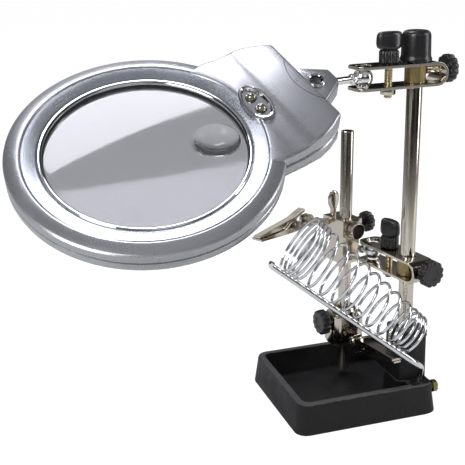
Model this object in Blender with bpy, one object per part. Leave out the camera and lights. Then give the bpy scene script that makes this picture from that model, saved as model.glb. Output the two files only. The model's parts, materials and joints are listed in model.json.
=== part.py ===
"""Soldering-iron stand with a third hand and a lighted magnifier.

A cast-iron tray carries a tall post. A magnifier hangs from the post's upper bracket on a
ball joint. A middle bracket carries a second, shorter post with two spring clips, and a
chrome rod on the tray holds the conical coil that a hot iron rests in.

Lengths are written in millimetres and scaled to metres when a mesh is made. The origin is the
centre of the tray's underside, +X runs right along the front edge, +Y to the back, +Z up.
"""

from math import atan2, cos, pi, radians, sin, sqrt

import bmesh
import bpy
from mathutils import Matrix, Vector

MM = 0.001
GAP = 0.3

# Tray
TRAY_WIDTH = 82.0
TRAY_DEPTH = 74.0
RIM_HEIGHT = 17.2
TRAY_DRAFT = 1.8
TRAY_WALL = 3.5
TRAY_FLOOR = 4.0
TRAY_CORNER = 6.0
BOSS_TOP = 46.0

# Posts
POST_X = 29.0
POST_Y = -17.5
POST_RADIUS = 4.0
POST_FOOT = 6.5
POST_TOP = 199.0
POST_CLEARANCE = 0.35
SHORT_X = 8.9
SHORT_Y = 17.7
SHORT_RADIUS = 3.5
SHORT_FOOT = 7.2
SHORT_TOP = 149.0

# Brackets: the upper and the middle one are the same part
STRIP = 1.5
STRIP_WIDTH = 15.0
BRACKET_HEIGHT = 12.0
BEND_REACH = 15.0
BALL_REACH = 30.0
JAW_END = 36.0
WING_REACH = 15.5
SCREW_RISE = 1.5
UPPER_LEVEL = 183.0
MIDDLE_LEVEL = 80.5
UPPER_HEADING = Vector((0.9973, 0.0730, 0.0))
MIDDLE_HEADING = Vector((0.1800, -0.9837, 0.0))
BALL_RADIUS = 5.0
SOCKET_RADIUS = 2.9
SOCKET_RIM = 4.2
SCREW_RADIUS = 2.0
SLEEVE_RADIUS = 5.4
KNOB_RADIUS = 7.2
KNOB_LENGTH = 5.0

# Magnifier, in its own frame: along from the lens centre to the ball, side, and offset from
# the plane of the lens opening
HEAD_ALONG = Vector((0.9558, 0.1796, 0.2328))
HEAD_UP = Vector((-0.1129, -0.5070, 0.8545))
STUD_TILT = 15.0
LENS_REACH = 119.9
LENS_RISE = 8.0
FLANGE_RADIUS = 61.5
BEZEL_RADIUS = 54.3
LENS_OPENING = 45.0
LENS_RADIUS = 47.3
SEAM = -3.0
COVER_WALL = 1.6
HANDLE_SLOPE = 0.118
BEZEL_ALONG = 56.6
LED_SPACING = 8.5
TAIL_START = 84.6
TAIL_END = 101.0
SWITCH_ALONG = 90.5
CELL_RADIUS = 5.0
CELL_LENGTH = 44.0
CELL_ALONG = (66.6, 77.2)

# Block on the short post
BLOCK_CENTRE = Vector((7.9, 20.1, 0.0))
BLOCK_HEADING = Vector((0.970, 0.243, 0.0))
BLOCK_HALF_WIDTH = 6.5
BLOCK_HALF_DEPTH = 9.0
BLOCK_TOP = 100.0
BLOCK_STEP = 88.6
BLOCK_BOTTOM = 75.0

# Iron holder
FOOT_X = 33.0
FOOT_Y = -29.0
ROD_RADIUS = 1.6
ROD_START = Vector((18.9, -41.0, 38.2))
ROD_ALONG = Vector((-0.765, 0.251, 0.593))
ROD_LENGTH = 87.6
COIL_WIRE = 0.78
COIL_WIDE = 16.25
COIL_NARROW = 10.6

# Spring clips
CLIP_LENGTH = 42.0
CLIP_PIN = 14.0
UPPER_CLIP_PIVOT = Vector((-16.0, 16.0, 102.0))
UPPER_CLIP_TIP = Vector((-51.8, -5.5, 101.8))
LOWER_CLIP_PIVOT = Vector((10.6, 6.0, 29.7))
LOWER_CLIP_TIP = Vector((14.5, -25.5, 33.6))
CLAMP_HEADING = Vector((0.990, 0.130, 0.0))
CLAMP_BOTTOM = 25.0
CLAMP_TOP = 44.0


# ---------------------------------------------------------------- finishes

def finish(name, colour, roughness, metallic):
    """One Principled material."""
    material = bpy.data.materials.new(name)
    material.use_nodes = True
    shader = material.node_tree.nodes["Principled BSDF"]
    shader.inputs["Base Color"].default_value = (*colour, 1.0)
    shader.inputs["Roughness"].default_value = roughness
    shader.inputs["Metallic"].default_value = metallic
    return material


def make_finishes():
    """Every finish on the stand, by name."""
    return {
        "cast_iron": finish("cast_iron", (0.012, 0.012, 0.013), 0.75, 0.0),
        "nickel": finish("nickel", (0.55, 0.50, 0.42), 0.22, 1.0),
        "chrome": finish("chrome", (0.80, 0.82, 0.85), 0.08, 1.0),
        "brass": finish("brass", (0.52, 0.42, 0.16), 0.35, 1.0),
        "black_plastic": finish("black_plastic", (0.012, 0.012, 0.014), 0.45, 0.0),
        "silver_plastic": finish("silver_plastic", (0.62, 0.63, 0.65), 0.30, 0.6),
        "lens": finish("lens", (0.75, 0.77, 0.80), 0.04, 0.0),
        "rubber": finish("rubber", (0.02, 0.02, 0.02), 0.8, 0.0),
        "led": finish("led", (0.95, 0.95, 0.90), 0.1, 0.0),
        "cell": finish("cell", (0.10, 0.11, 0.14), 0.4, 0.2),
    }


# ---------------------------------------------------------------- frames

def frame_at(origin, x_axis, z_axis):
    """A frame at origin with its Z along z_axis and its X as near x_axis as it can be."""
    z_dir = Vector(z_axis).normalized()
    y_dir = z_dir.cross(Vector(x_axis)).normalized()
    x_dir = y_dir.cross(z_dir)
    frame = Matrix((x_dir, y_dir, z_dir)).transposed().to_4x4()
    frame.translation = Vector(origin)
    return frame


def shift(x, y, z):
    return Matrix.Translation(Vector((x, y, z)))


# ---------------------------------------------------------------- outlines

def circle(radius, height, count=20, centre=(0.0, 0.0)):
    """A ring of points at one height."""
    points = []
    for step in range(count):
        angle = 2.0 * pi * step / count
        points.append((centre[0] + radius * cos(angle), centre[1] + radius * sin(angle), height))
    return points


def oval(half_x, half_y, height, count=20):
    return [(half_x * cos(2.0 * pi * step / count), half_y * sin(2.0 * pi * step / count), height)
            for step in range(count)]


def rounded_box(half_x, half_y, corner, height, steps=4):
    """A rectangle with round corners, as points at one height."""
    points = []
    for quarter in range(4):
        sign_x = 1.0 if quarter in (0, 3) else -1.0
        sign_y = 1.0 if quarter in (0, 1) else -1.0
        for step in range(steps + 1):
            angle = pi / 2.0 * (quarter + step / steps)
            x = sign_x * (half_x - corner) + corner * cos(angle)
            y = sign_y * (half_y - corner) + corner * sin(angle)
            points.append((x, y, height))
    return points


def fluted(radius, height, flutes=12, depth=0.8):
    """A knob's outline: shallow flutes between rounded lobes."""
    points = []
    count = flutes * 2
    for step in range(count):
        angle = 2.0 * pi * step / count
        local = radius - (depth if step % 2 == 0 else 0.0)
        points.append((local * cos(angle), local * sin(angle), height))
    return points


def inset(outline, distance):
    """Move every side of a closed outline inwards; the outline runs anticlockwise."""
    moved = []
    count = len(outline)
    for index in range(count):
        before = Vector(outline[index - 1][:2])
        here = Vector(outline[index][:2])
        after = Vector(outline[(index + 1) % count][:2])
        into = (here - before).normalized()
        out = (after - here).normalized()
        normal = Vector((-into.y, into.x)) + Vector((-out.y, out.x))
        normal.normalize()
        reach = distance / max(0.5, normal.dot(Vector((-into.y, into.x))))
        moved.append((here.x + normal.x * reach, here.y + normal.y * reach, outline[index][2]))
    return moved


def at_height(outline, height):
    return [(point[0], point[1], height) for point in outline]


# ---------------------------------------------------------------- meshes

def skin(rings, closed=False):
    """Join rings of equally many points; the two ends are capped unless the rings close up."""
    mesh = bmesh.new()
    loops = [[mesh.verts.new(point) for point in ring] for ring in rings]
    count = len(loops[0])
    pairs = list(zip(loops, loops[1:]))
    if closed:
        pairs.append((loops[-1], loops[0]))
    for low, high in pairs:
        for index in range(count):
            following = (index + 1) % count
            mesh.faces.new((low[index], low[following], high[following], high[index]))
    if not closed:
        mesh.faces.new(loops[0])
        mesh.faces.new(loops[-1])
    return mesh


def turned(profile, steps=24, closed=False):
    """Spin a profile of (radius, height) points about Z."""
    mesh = bmesh.new()
    verts = [mesh.verts.new((radius, 0.0, height)) for radius, height in profile]
    edges = [mesh.edges.new(pair) for pair in zip(verts, verts[1:])]
    if closed:
        edges.append(mesh.edges.new((verts[-1], verts[0])))
    bmesh.ops.spin(mesh, geom=verts + edges, axis=(0, 0, 1), cent=(0, 0, 0), angle=2.0 * pi,
                   steps=steps, use_merge=True)
    bmesh.ops.remove_doubles(mesh, verts=mesh.verts[:], dist=0.001)
    return mesh


def rod(radius, low, high, steps=16):
    return turned([(0.0, low), (radius, low), (radius, high), (0.0, high)], steps)


def prism(outline, low, high):
    """A flat outline pulled up from one height to another."""
    return skin([at_height(outline, low), at_height(outline, high)])


def block(size_x, size_y, size_z, centre=(0.0, 0.0, 0.0)):
    mesh = bmesh.new()
    bmesh.ops.create_cube(mesh, size=1.0)
    bmesh.ops.scale(mesh, vec=(size_x, size_y, size_z), verts=mesh.verts[:])
    bmesh.ops.translate(mesh, vec=centre, verts=mesh.verts[:])
    return mesh


def placed(mesh, matrix):
    mesh.transform(matrix)
    return mesh


def side_prism(outline, low, high):
    """A side view given as (x, z) points, pulled along Y."""
    flat = [(x, z, 0.0) for x, z in outline]
    mesh = prism(flat, -high, -low)
    return placed(mesh, Matrix.Rotation(pi / 2.0, 4, "X"))


# ---------------------------------------------------------------- objects

def add_part(name, mesh, frame, material, smooth=40.0):
    """Make one named object from a mesh built in millimetres in its own frame."""
    bmesh.ops.recalc_face_normals(mesh, faces=mesh.faces[:])
    if mesh.calc_volume(signed=True) < 0.0:
        bmesh.ops.reverse_faces(mesh, faces=mesh.faces[:])
    bmesh.ops.scale(mesh, vec=(MM, MM, MM), verts=mesh.verts[:])
    data = bpy.data.meshes.new(name)
    mesh.to_mesh(data)
    mesh.free()
    part = bpy.data.objects.new(name, data)
    bpy.context.scene.collection.objects.link(part)
    place = frame.copy()
    place.translation = frame.translation * MM
    part.matrix_world = place
    data.materials.append(material)
    data.shade_smooth()
    data.set_sharp_from_angle(angle=radians(smooth))
    return part


def combine(part, mesh, operation="DIFFERENCE"):
    """Cut a mesh, given in the part's own frame, out of a part or join it on."""
    number = len(part.modifiers) + 1
    tool = add_part(f"{part.name}_tool_{number}", mesh, Matrix.Identity(4),
                    part.data.materials[0])
    tool.matrix_world = part.matrix_world.copy()
    tool.hide_render = True
    tool.display_type = "WIRE"
    change = part.modifiers.new(f"shape_{number}", "BOOLEAN")
    change.operation = operation
    change.solver = "EXACT"
    change.object = tool
    return part


def drill(part, radius, matrix, low, high, steps=16):
    return combine(part, placed(rod(radius, low, high, steps), matrix))


# ---------------------------------------------------------------- tray and posts

def build_tray(mats):
    """The cast tray, its boss for the post, and its pad for the iron holder's foot."""
    half_x = TRAY_WIDTH / 2.0
    half_y = TRAY_DEPTH / 2.0
    rim_x = half_x - TRAY_DRAFT
    rim_y = half_y - TRAY_DRAFT
    inner_x = rim_x - TRAY_WALL
    inner_y = rim_y - TRAY_WALL
    mesh = skin([
        rounded_box(half_x - 0.8, half_y - 0.8, TRAY_CORNER, 0.0),
        rounded_box(half_x, half_y, TRAY_CORNER, 0.8),
        rounded_box(rim_x, rim_y, TRAY_CORNER, RIM_HEIGHT - 0.5),
        rounded_box(rim_x - 0.5, rim_y - 0.5, TRAY_CORNER - 0.4, RIM_HEIGHT),
        rounded_box(inner_x, inner_y, TRAY_CORNER - 2.0, RIM_HEIGHT),
        rounded_box(inner_x - 1.2, inner_y - 1.2, TRAY_CORNER - 2.0, TRAY_FLOOR),
    ])
    tray = add_part("base_tray", mesh, Matrix.Identity(4), mats["cast_iron"])
    boss = skin([
        rounded_box(9.3, 9.9, 3.0, 2.0, 2),
        rounded_box(8.7, 9.2, 2.6, RIM_HEIGHT, 2),
        rounded_box(8.4, 8.8, 2.4, BOSS_TOP - 0.8, 2),
        rounded_box(7.7, 8.1, 1.8, BOSS_TOP, 2),
    ])
    combine(tray, placed(boss, shift(POST_X + 1.2, POST_Y, 0.0)), "UNION")
    pad = skin([
        rounded_box(7.2, 5.6, 2.4, 2.0, 2),
        rounded_box(6.2, 4.8, 2.2, RIM_HEIGHT + 0.5, 2),
    ])
    combine(tray, placed(pad, shift(32.0, -29.3, 0.0)), "UNION")
    drill(tray, POST_RADIUS + POST_CLEARANCE, shift(POST_X, POST_Y, 0.0), POST_FOOT - GAP, 60.0, 20)
    drill(tray, ROD_RADIUS + POST_CLEARANCE, shift(FOOT_X, FOOT_Y, 0.0), 6.0, 30.0)
    sideways = Matrix.Rotation(pi / 2.0, 4, "Y")
    drill(tray, SCREW_RADIUS + GAP, shift(POST_X, POST_Y, 40.5) @ sideways, 2.0, 20.0, 12)
    drill(tray, SCREW_RADIUS + GAP, shift(FOOT_X, FOOT_Y, 12.7) @ sideways, 1.0, 20.0, 12)


def build_set_screw(name, x, y, z, tip, shoulder, mats):
    """A brass screw driven in from the right; tip and shoulder are measured along +X."""
    mesh = turned([(0.0, tip), (SCREW_RADIUS, tip), (SCREW_RADIUS, shoulder), (3.4, shoulder),
                   (3.4, shoulder + 2.4), (2.8, shoulder + 3.0), (0.0, shoulder + 3.0)], 16)
    screw = add_part(name, mesh, frame_at((x, y, z), (0, 0, -1), (1, 0, 0)), mats["brass"])
    slot = block(0.9, 8.0, 2.0, (0.0, 0.0, shoulder + 3.0))
    combine(screw, slot)


def build_posts(mats):
    main = turned([(0.0, POST_FOOT), (POST_RADIUS, POST_FOOT), (POST_RADIUS, POST_TOP - 0.5),
                   (POST_RADIUS - 0.5, POST_TOP), (0.0, POST_TOP)], 20)
    add_part("main_post", main, frame_at((POST_X, POST_Y, 0), (1, 0, 0), (0, 0, 1)), mats["nickel"])
    short = turned([(0.0, SHORT_FOOT), (SHORT_RADIUS, SHORT_FOOT), (SHORT_RADIUS, SHORT_TOP - 0.4),
                    (SHORT_RADIUS - 0.4, SHORT_TOP), (0.0, SHORT_TOP)], 20)
    add_part("short_post", short, frame_at((SHORT_X, SHORT_Y, 0), (1, 0, 0), (0, 0, 1)),
             mats["nickel"])
    bore = POST_RADIUS + GAP
    cap = turned([(0.0, POST_TOP + GAP), (bore, POST_TOP + GAP), (bore, 189.5), (8.1, 189.5),
                  (8.1, 190.6), (7.6, 191.6), (7.2, 202.2), (6.2, 204.1), (4.6, 204.6),
                  (0.0, 204.6)], 20)
    add_part("post_cap", cap, frame_at((POST_X, POST_Y, 0), (1, 0, 0), (0, 0, 1)),
             mats["black_plastic"])


# ---------------------------------------------------------------- clamps

def build_sleeve(name, inner, x, y, low, high, outer, mats):
    """The split bush that a clamp screw squeezes on its post."""
    mesh = turned([(inner, low), (outer, low), (outer, high), (inner, high)], 20, closed=True)
    add_part(name, mesh, frame_at((x, y, 0), (1, 0, 0), (0, 0, 1)), mats["brass"])


def build_knob(name, frame, start, mats, radius=KNOB_RADIUS, length=KNOB_LENGTH):
    """A fluted knob on a screw: the knob sits on the frame's Z, from start outwards."""
    bore = SCREW_RADIUS + GAP
    mesh = skin([
        circle(bore, start + length - 1.4, 24),
        circle(bore, start, 24),
        fluted(radius - 0.8, start, depth=0.5),
        fluted(radius, start + 0.8),
        fluted(radius, start + length - 0.8),
        fluted(radius - 0.9, start + length, depth=0.5),
    ])
    add_part(name, mesh, frame, mats["black_plastic"], 50.0)


def build_clamp_screw(name, frame, tip, face, knob_start, mats, length=KNOB_LENGTH):
    """The screw behind a knob: shank up to the face it passes, a collar, and its core."""
    mesh = turned([(0.0, tip), (SCREW_RADIUS, tip), (SCREW_RADIUS, face + GAP),
                   (3.3, face + GAP), (3.3, knob_start - GAP), (SCREW_RADIUS, knob_start - GAP),
                   (SCREW_RADIUS, knob_start + length - 1.9), (0.0, knob_start + length - 1.9)], 16)
    add_part(name, mesh, frame, mats["nickel"])


def bracket_outline(half_height, reach):
    """Half of the bracket's side view: two plates joined by a round bend at the far end."""
    points = [(-JAW_END, -half_height)]
    centre = reach - half_height
    for step in range(9):
        angle = -pi / 2.0 + pi * step / 8.0
        points.append((centre + half_height * cos(angle), half_height * sin(angle)))
    points.append((-JAW_END, half_height))
    return points


def build_bracket(name, frame, mats):
    """A strip bent into a U on its side, with jaws that pinch the ball."""
    half = BRACKET_HEIGHT / 2.0
    outer = bracket_outline(half, BEND_REACH)
    inner = bracket_outline(half - STRIP, BEND_REACH - STRIP)
    outline = outer + [point for point in reversed(inner)]
    mesh = side_prism(outline, -STRIP_WIDTH / 2.0, STRIP_WIDTH / 2.0)
    corners = [edge for edge in mesh.edges
               if all(abs(vert.co.x + JAW_END) < 0.01 for vert in edge.verts)
               and abs(edge.verts[0].co.y - edge.verts[1].co.y) < 0.01]
    bmesh.ops.bevel(mesh, geom=corners, offset=4.5, offset_type="OFFSET", segments=3,
                    affect="EDGES", profile=0.5, material=-1)
    bracket = add_part(name, mesh, frame, mats["nickel"])
    drill(bracket, POST_RADIUS + 0.5, Matrix.Identity(4), -10.0, 10.0, 20)
    drill(bracket, SCREW_RADIUS + GAP, shift(-WING_REACH, 0.0, 0.0), -10.0, 10.0, 12)
    flat = half - STRIP
    cup = turned([(0.0, -half - 1.0), (SOCKET_RIM + 0.9, -half - 1.0), (SOCKET_RADIUS, -flat),
                  (SOCKET_RADIUS, flat), (SOCKET_RIM + 0.9, half + 1.0), (0.0, half + 1.0)], 16)
    combine(bracket, placed(cup, shift(-BALL_REACH, 0.0, 0.0)))
    across = shift(0.0, 0.0, SCREW_RISE) @ Matrix.Rotation(pi / 2.0, 4, "Y")
    drill(bracket, SCREW_RADIUS + GAP, across, 6.0, 20.0, 12)


def build_wing(prefix, frame, mats):
    """The wing knob, its bolt through both plates, and the nut below."""
    half = BRACKET_HEIGHT / 2.0
    foot = half + 0.4
    bore = SCREW_RADIUS + GAP
    mesh = skin([
        circle(bore, foot + 7.0), circle(bore, foot), circle(5.0, foot), circle(5.0, foot + 5.6),
        oval(6.4, 4.2, foot + 7.4), oval(7.2, 3.7, foot + 9.6), oval(7.1, 3.5, foot + 13.6),
        oval(5.6, 2.6, foot + 15.2),
    ])
    add_part(f"{prefix}_wing_knob", mesh, frame, mats["black_plastic"], 50.0)
    bolt = rod(SCREW_RADIUS, -half - 5.0, foot + 6.6, 14)
    add_part(f"{prefix}_wing_bolt", bolt, frame, mats["brass"])
    low = -half - GAP - 3.0
    high = -half - GAP
    nut = skin([circle(3.9, low, 12), circle(3.9, high, 12), circle(bore, high, 12),
                circle(bore, low, 12)], closed=True)
    add_part(f"{prefix}_bolt_nut", nut, frame, mats["nickel"], 20.0)


def build_ball(name, frame, mats):
    mesh = bmesh.new()
    bmesh.ops.create_uvsphere(mesh, u_segments=12, v_segments=8, radius=BALL_RADIUS)
    add_part(name, mesh, frame, mats["chrome"])


def build_stud(name, frame, end, mats):
    """The stud leaves the ball along the frame's X and ends in the piece that it carries."""
    mesh = turned([(0.0, BALL_RADIUS + 0.25), (2.3, BALL_RADIUS + 0.25), (2.7, 7.6), (1.8, 8.0),
                   (1.8, end), (0.0, end)], 16)
    placed(mesh, Matrix.Rotation(pi / 2.0, 4, "Y"))
    add_part(name, mesh, frame, mats["chrome"])


def build_clamp_set(prefix, heading, level, mats):
    """One bracket with everything that clamps it to the tall post."""
    frame = frame_at((POST_X, POST_Y, level), heading, (0, 0, 1))
    half = BRACKET_HEIGHT / 2.0
    build_bracket(f"{prefix}_bracket", frame, mats)
    flat = half - STRIP - GAP
    build_sleeve(f"{prefix}_post_sleeve", POST_RADIUS + GAP, POST_X, POST_Y, level - flat,
                 level + flat, SLEEVE_RADIUS, mats)
    across = frame_at(frame @ Vector((0.0, 0.0, SCREW_RISE)), (0, 0, 1), heading)
    build_knob(f"{prefix}_clamp_knob", across, 16.8, mats)
    build_clamp_screw(f"{prefix}_clamp_screw", across, SLEEVE_RADIUS + GAP, BEND_REACH, 16.8, mats)
    wing = frame_at(frame @ Vector((-WING_REACH, 0.0, 0.0)), heading, (0, 0, 1))
    build_wing(prefix, wing, mats)
    build_ball(f"{prefix}_ball", frame_at(frame @ Vector((-BALL_REACH, 0.0, 0.0)), heading,
                                          (0, 0, 1)), mats)


# ---------------------------------------------------------------- magnifier

def handle_outline(height):
    """The handle seen from above, from the flange to the tail; the near side is an arc."""
    half = [(49.1, 37.0), (70.0, 35.4), (84.0, 29.0)]
    points = [(x, -y, height) for x, y in half]
    points += [(x, y, height) for x, y in reversed(half)]
    for step in range(9):
        angle = radians(40.0 - 10.0 * step)
        points.append((53.0 * cos(angle), 53.0 * sin(angle), height))
    return points


def sloped(outline, drop):
    """Set an outline on the handle's sloping top, lowered by drop."""
    return [(x, y, 2.4 + (x - 45.0) * HANDLE_SLOPE - drop) for x, y, _ in outline]


def build_front_cover(head, lens, mats):
    profile = [(FLANGE_RADIUS, SEAM), (FLANGE_RADIUS, 0.6), (60.3, 1.5), (BEZEL_RADIUS, 2.2),
               (52.3, 2.6), (46.8, 0.5), (LENS_OPENING, 0.1), (LENS_OPENING, -0.9), (60.0, -0.9),
               (60.0, SEAM)]
    cover = add_part("front_cover", placed(turned(profile, 34, closed=True), lens), head,
                     mats["silver_plastic"], 30.0)
    plan = handle_outline(SEAM)
    body = skin([plan, sloped(plan, 1.6), sloped(inset(plan, 1.2), 0.3), sloped(inset(plan, 2.6), 0.0)])
    combine(cover, placed(body, lens), "UNION")
    room = inset(plan, COVER_WALL)
    cavity = skin([at_height(room, SEAM - 0.5), sloped(room, COVER_WALL + 0.2)])
    combine(cover, placed(cavity, lens))
    pocket = block(15.0, 24.0, 3.0, (55.5, -0.5, -1.8))
    combine(cover, placed(pocket, lens))
    window = skin([oval(6.6, 12.3, -12.0), oval(6.6, 12.3, 12.0)])
    combine(cover, placed(window, lens @ bezel_place()))


def bezel_place():
    """The frame of the light's bezel, lying on the handle's slope."""
    top = 2.4 + (BEZEL_ALONG - 45.0) * HANDLE_SLOPE
    return shift(BEZEL_ALONG, -0.5, top) @ Matrix.Rotation(-atan2(HANDLE_SLOPE, 1.0), 4, "Y")


def build_back_cover(head, lens, mats):
    top = SEAM - GAP
    profile = [(FLANGE_RADIUS, top), (FLANGE_RADIUS, -6.8), (60.0, -8.2), (45.8, -7.0),
               (LENS_OPENING, -6.4), (LENS_OPENING, -4.8), (50.0, -4.8), (60.0, -6.4), (60.0, top)]
    cover = add_part("back_cover", placed(turned(profile, 34, closed=True), lens), head,
                     mats["silver_plastic"], 30.0)
    plan = handle_outline(top)
    body = skin([at_height(inset(plan, 2.4), -9.2), at_height(inset(plan, 1.2), -8.9),
                 at_height(plan, -7.6), plan])
    combine(cover, placed(body, lens), "UNION")
    room = inset(plan, COVER_WALL)
    combine(cover, placed(prism(room, -7.7, top + 0.5), lens))
    opening = block(21.4, 48.6, 4.0, (71.0, 0.0, -8.6))
    combine(cover, placed(opening, lens))
    for index, angle in enumerate((120.0, 240.0)):
        spot = shift(55.0 * cos(radians(angle)), 55.0 * sin(radians(angle)), 0.0)
        drill(cover, 1.4, lens @ spot, -12.0, -2.0, 10)
        screw = turned([(0.0, -9.2), (1.4, -9.2), (2.3, -8.6), (2.3, -8.1), (1.05, -8.1),
                        (1.05, -1.8), (0.0, -1.8)], 12)
        add_part(f"case_screw_{index + 1}", placed(screw, lens @ spot), head, mats["nickel"])
    door = skin([rounded_box(10.2, 23.8, 1.0, -9.2, 2), rounded_box(10.4, 24.0, 1.2, -8.9, 2),
                 rounded_box(10.4, 24.0, 1.2, -7.9, 2)])
    door_place = lens @ shift(71.0, 0.0, -8.5)
    add_part("battery_cover", placed(door, shift(0.0, 0.0, 8.5)), head @ door_place,
             mats["silver_plastic"])


def build_lens(head, lens, mats):
    """The main lens with its stronger inset moulded into it, and the ring that seats it."""
    profile = [(0.0, -6.0), (16.0, -5.7), (32.0, -5.1), (LENS_RADIUS, -4.4), (LENS_RADIUS, -2.0),
               (32.0, -1.2), (16.0, -0.7), (0.0, -0.4)]
    glass = add_part("main_lens", placed(turned(profile, 28), lens), head, mats["lens"])
    bulge = turned([(0.0, -8.4), (4.0, -8.1), (8.0, -7.0), (11.0, -5.2), (11.0, -4.0), (0.0, -4.0)], 20)
    combine(glass, placed(bulge, lens @ shift(31.8, -6.5, 0.0)), "UNION")
    seat = [(44.5, -1.75), (47.4, -1.75), (47.4, -1.15), (44.5, -1.15)]
    add_part("lens_gasket", placed(turned(seat, 28, closed=True), lens), head, mats["rubber"])


def build_lights(head, lens, mats):
    place = lens @ bezel_place()
    dish = skin([oval(6.25, 12.0, -2.2), oval(6.25, 12.0, 0.5), oval(5.9, 11.6, 0.9),
                 oval(5.0, 10.6, 0.7), oval(4.6, 10.1, -0.9)])
    bezel = add_part("led_bezel", placed(dish, place), head, mats["chrome"], 30.0)
    for index, side in enumerate((-0.5, 0.5)):
        spot = shift(BEZEL_ALONG, -0.5 + side * LED_SPACING, 0.0)
        drill(bezel, 2.8, lens @ spot, -3.0, 9.0, 14)
        lamp = turned([(0.0, -0.2), (2.7, -0.2), (2.7, 0.7), (2.4, 0.7), (2.4, 3.2), (1.9, 4.4),
                       (1.0, 5.1), (0.0, 5.3)], 14)
        add_part(f"led_{index + 1}", placed(lamp, lens @ spot), head, mats["led"])


def build_cells(head, lens, mats):
    """Two cells lie across the handle, head to tail."""
    for index, along in enumerate(CELL_ALONG):
        half = CELL_LENGTH / 2.0
        sign = 1.0 if index == 0 else -1.0
        cell = turned([(0.0, -half), (CELL_RADIUS, -half), (CELL_RADIUS, half - 1.2), (1.9, half - 1.2),
                       (1.9, half), (0.0, half)], 16)
        turn = Matrix.Rotation(sign * pi / 2.0, 4, "X")
        add_part(f"cell_{index + 1}", placed(cell, lens @ shift(along, 0.0, -2.2) @ turn), head,
                 mats["cell"])


def build_tail(head, lens, ball_to_head, mats):
    """The block that the stud screws into, with the round switch on its top."""
    plan = [(TAIL_START, -15.0, 0.0), (TAIL_END, -4.6, 0.0), (TAIL_END, 4.6, 0.0),
            (TAIL_START, 15.0, 0.0)]
    mesh = skin([at_height(inset(plan, 0.8), -8.0), at_height(plan, -7.2), at_height(plan, 0.9),
                 at_height(inset(plan, 0.9), 1.8)])
    tail = add_part("tail_block", placed(mesh, lens), head, mats["silver_plastic"], 30.0)
    drill(tail, 2.15, ball_to_head @ Matrix.Rotation(pi / 2.0, 4, "Y"), 15.0, 24.6, 14)
    spot = lens @ shift(SWITCH_ALONG, 0.0, 0.0)
    drill(tail, 4.2, spot, -5.6, 6.0, 20)
    shell = [(3.0, -5.2), (3.9, -5.2), (3.9, 1.9), (4.6, 2.15), (4.4, 2.9), (3.0, 2.9)]
    add_part("switch_ring", placed(turned(shell, 20, closed=True), spot), head, mats["chrome"])
    button = turned([(0.0, -3.0), (2.7, -3.0), (2.7, 1.9), (2.2, 2.4), (0.0, 2.5)], 16)
    add_part("light_switch", button, head @ spot, mats["black_plastic"])


def build_magnifier(ball, mats):
    head = frame_at(ball, HEAD_ALONG, HEAD_UP)
    lens = shift(-LENS_REACH, 0.0, LENS_RISE)
    tilt = Matrix.Rotation(pi + radians(STUD_TILT), 4, "Y")
    build_front_cover(head, lens, mats)
    build_back_cover(head, lens, mats)
    build_lens(head, lens, mats)
    build_lights(head, lens, mats)
    build_cells(head, lens, mats)
    build_tail(head, lens, tilt, mats)
    stud = head.to_3x3() @ Vector((-cos(radians(STUD_TILT)), 0.0, sin(radians(STUD_TILT))))
    build_stud("upper_stud", aimed(ball, stud), 24.0, mats)


def aimed(origin, direction):
    """A frame whose X runs along direction and whose Y lies level."""
    level = Vector((0, 0, 1)).cross(direction)
    return frame_at(origin, direction, Vector(direction).cross(level))


# ---------------------------------------------------------------- block on the short post

def block_place(ball):
    """The block's own axes, set at the ball that carries it."""
    frame = frame_at(ball, BLOCK_HEADING, (0, 0, 1))
    centre = frame.inverted() @ Vector((BLOCK_CENTRE.x, BLOCK_CENTRE.y, 0.0))
    return frame, shift(*centre)


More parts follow.
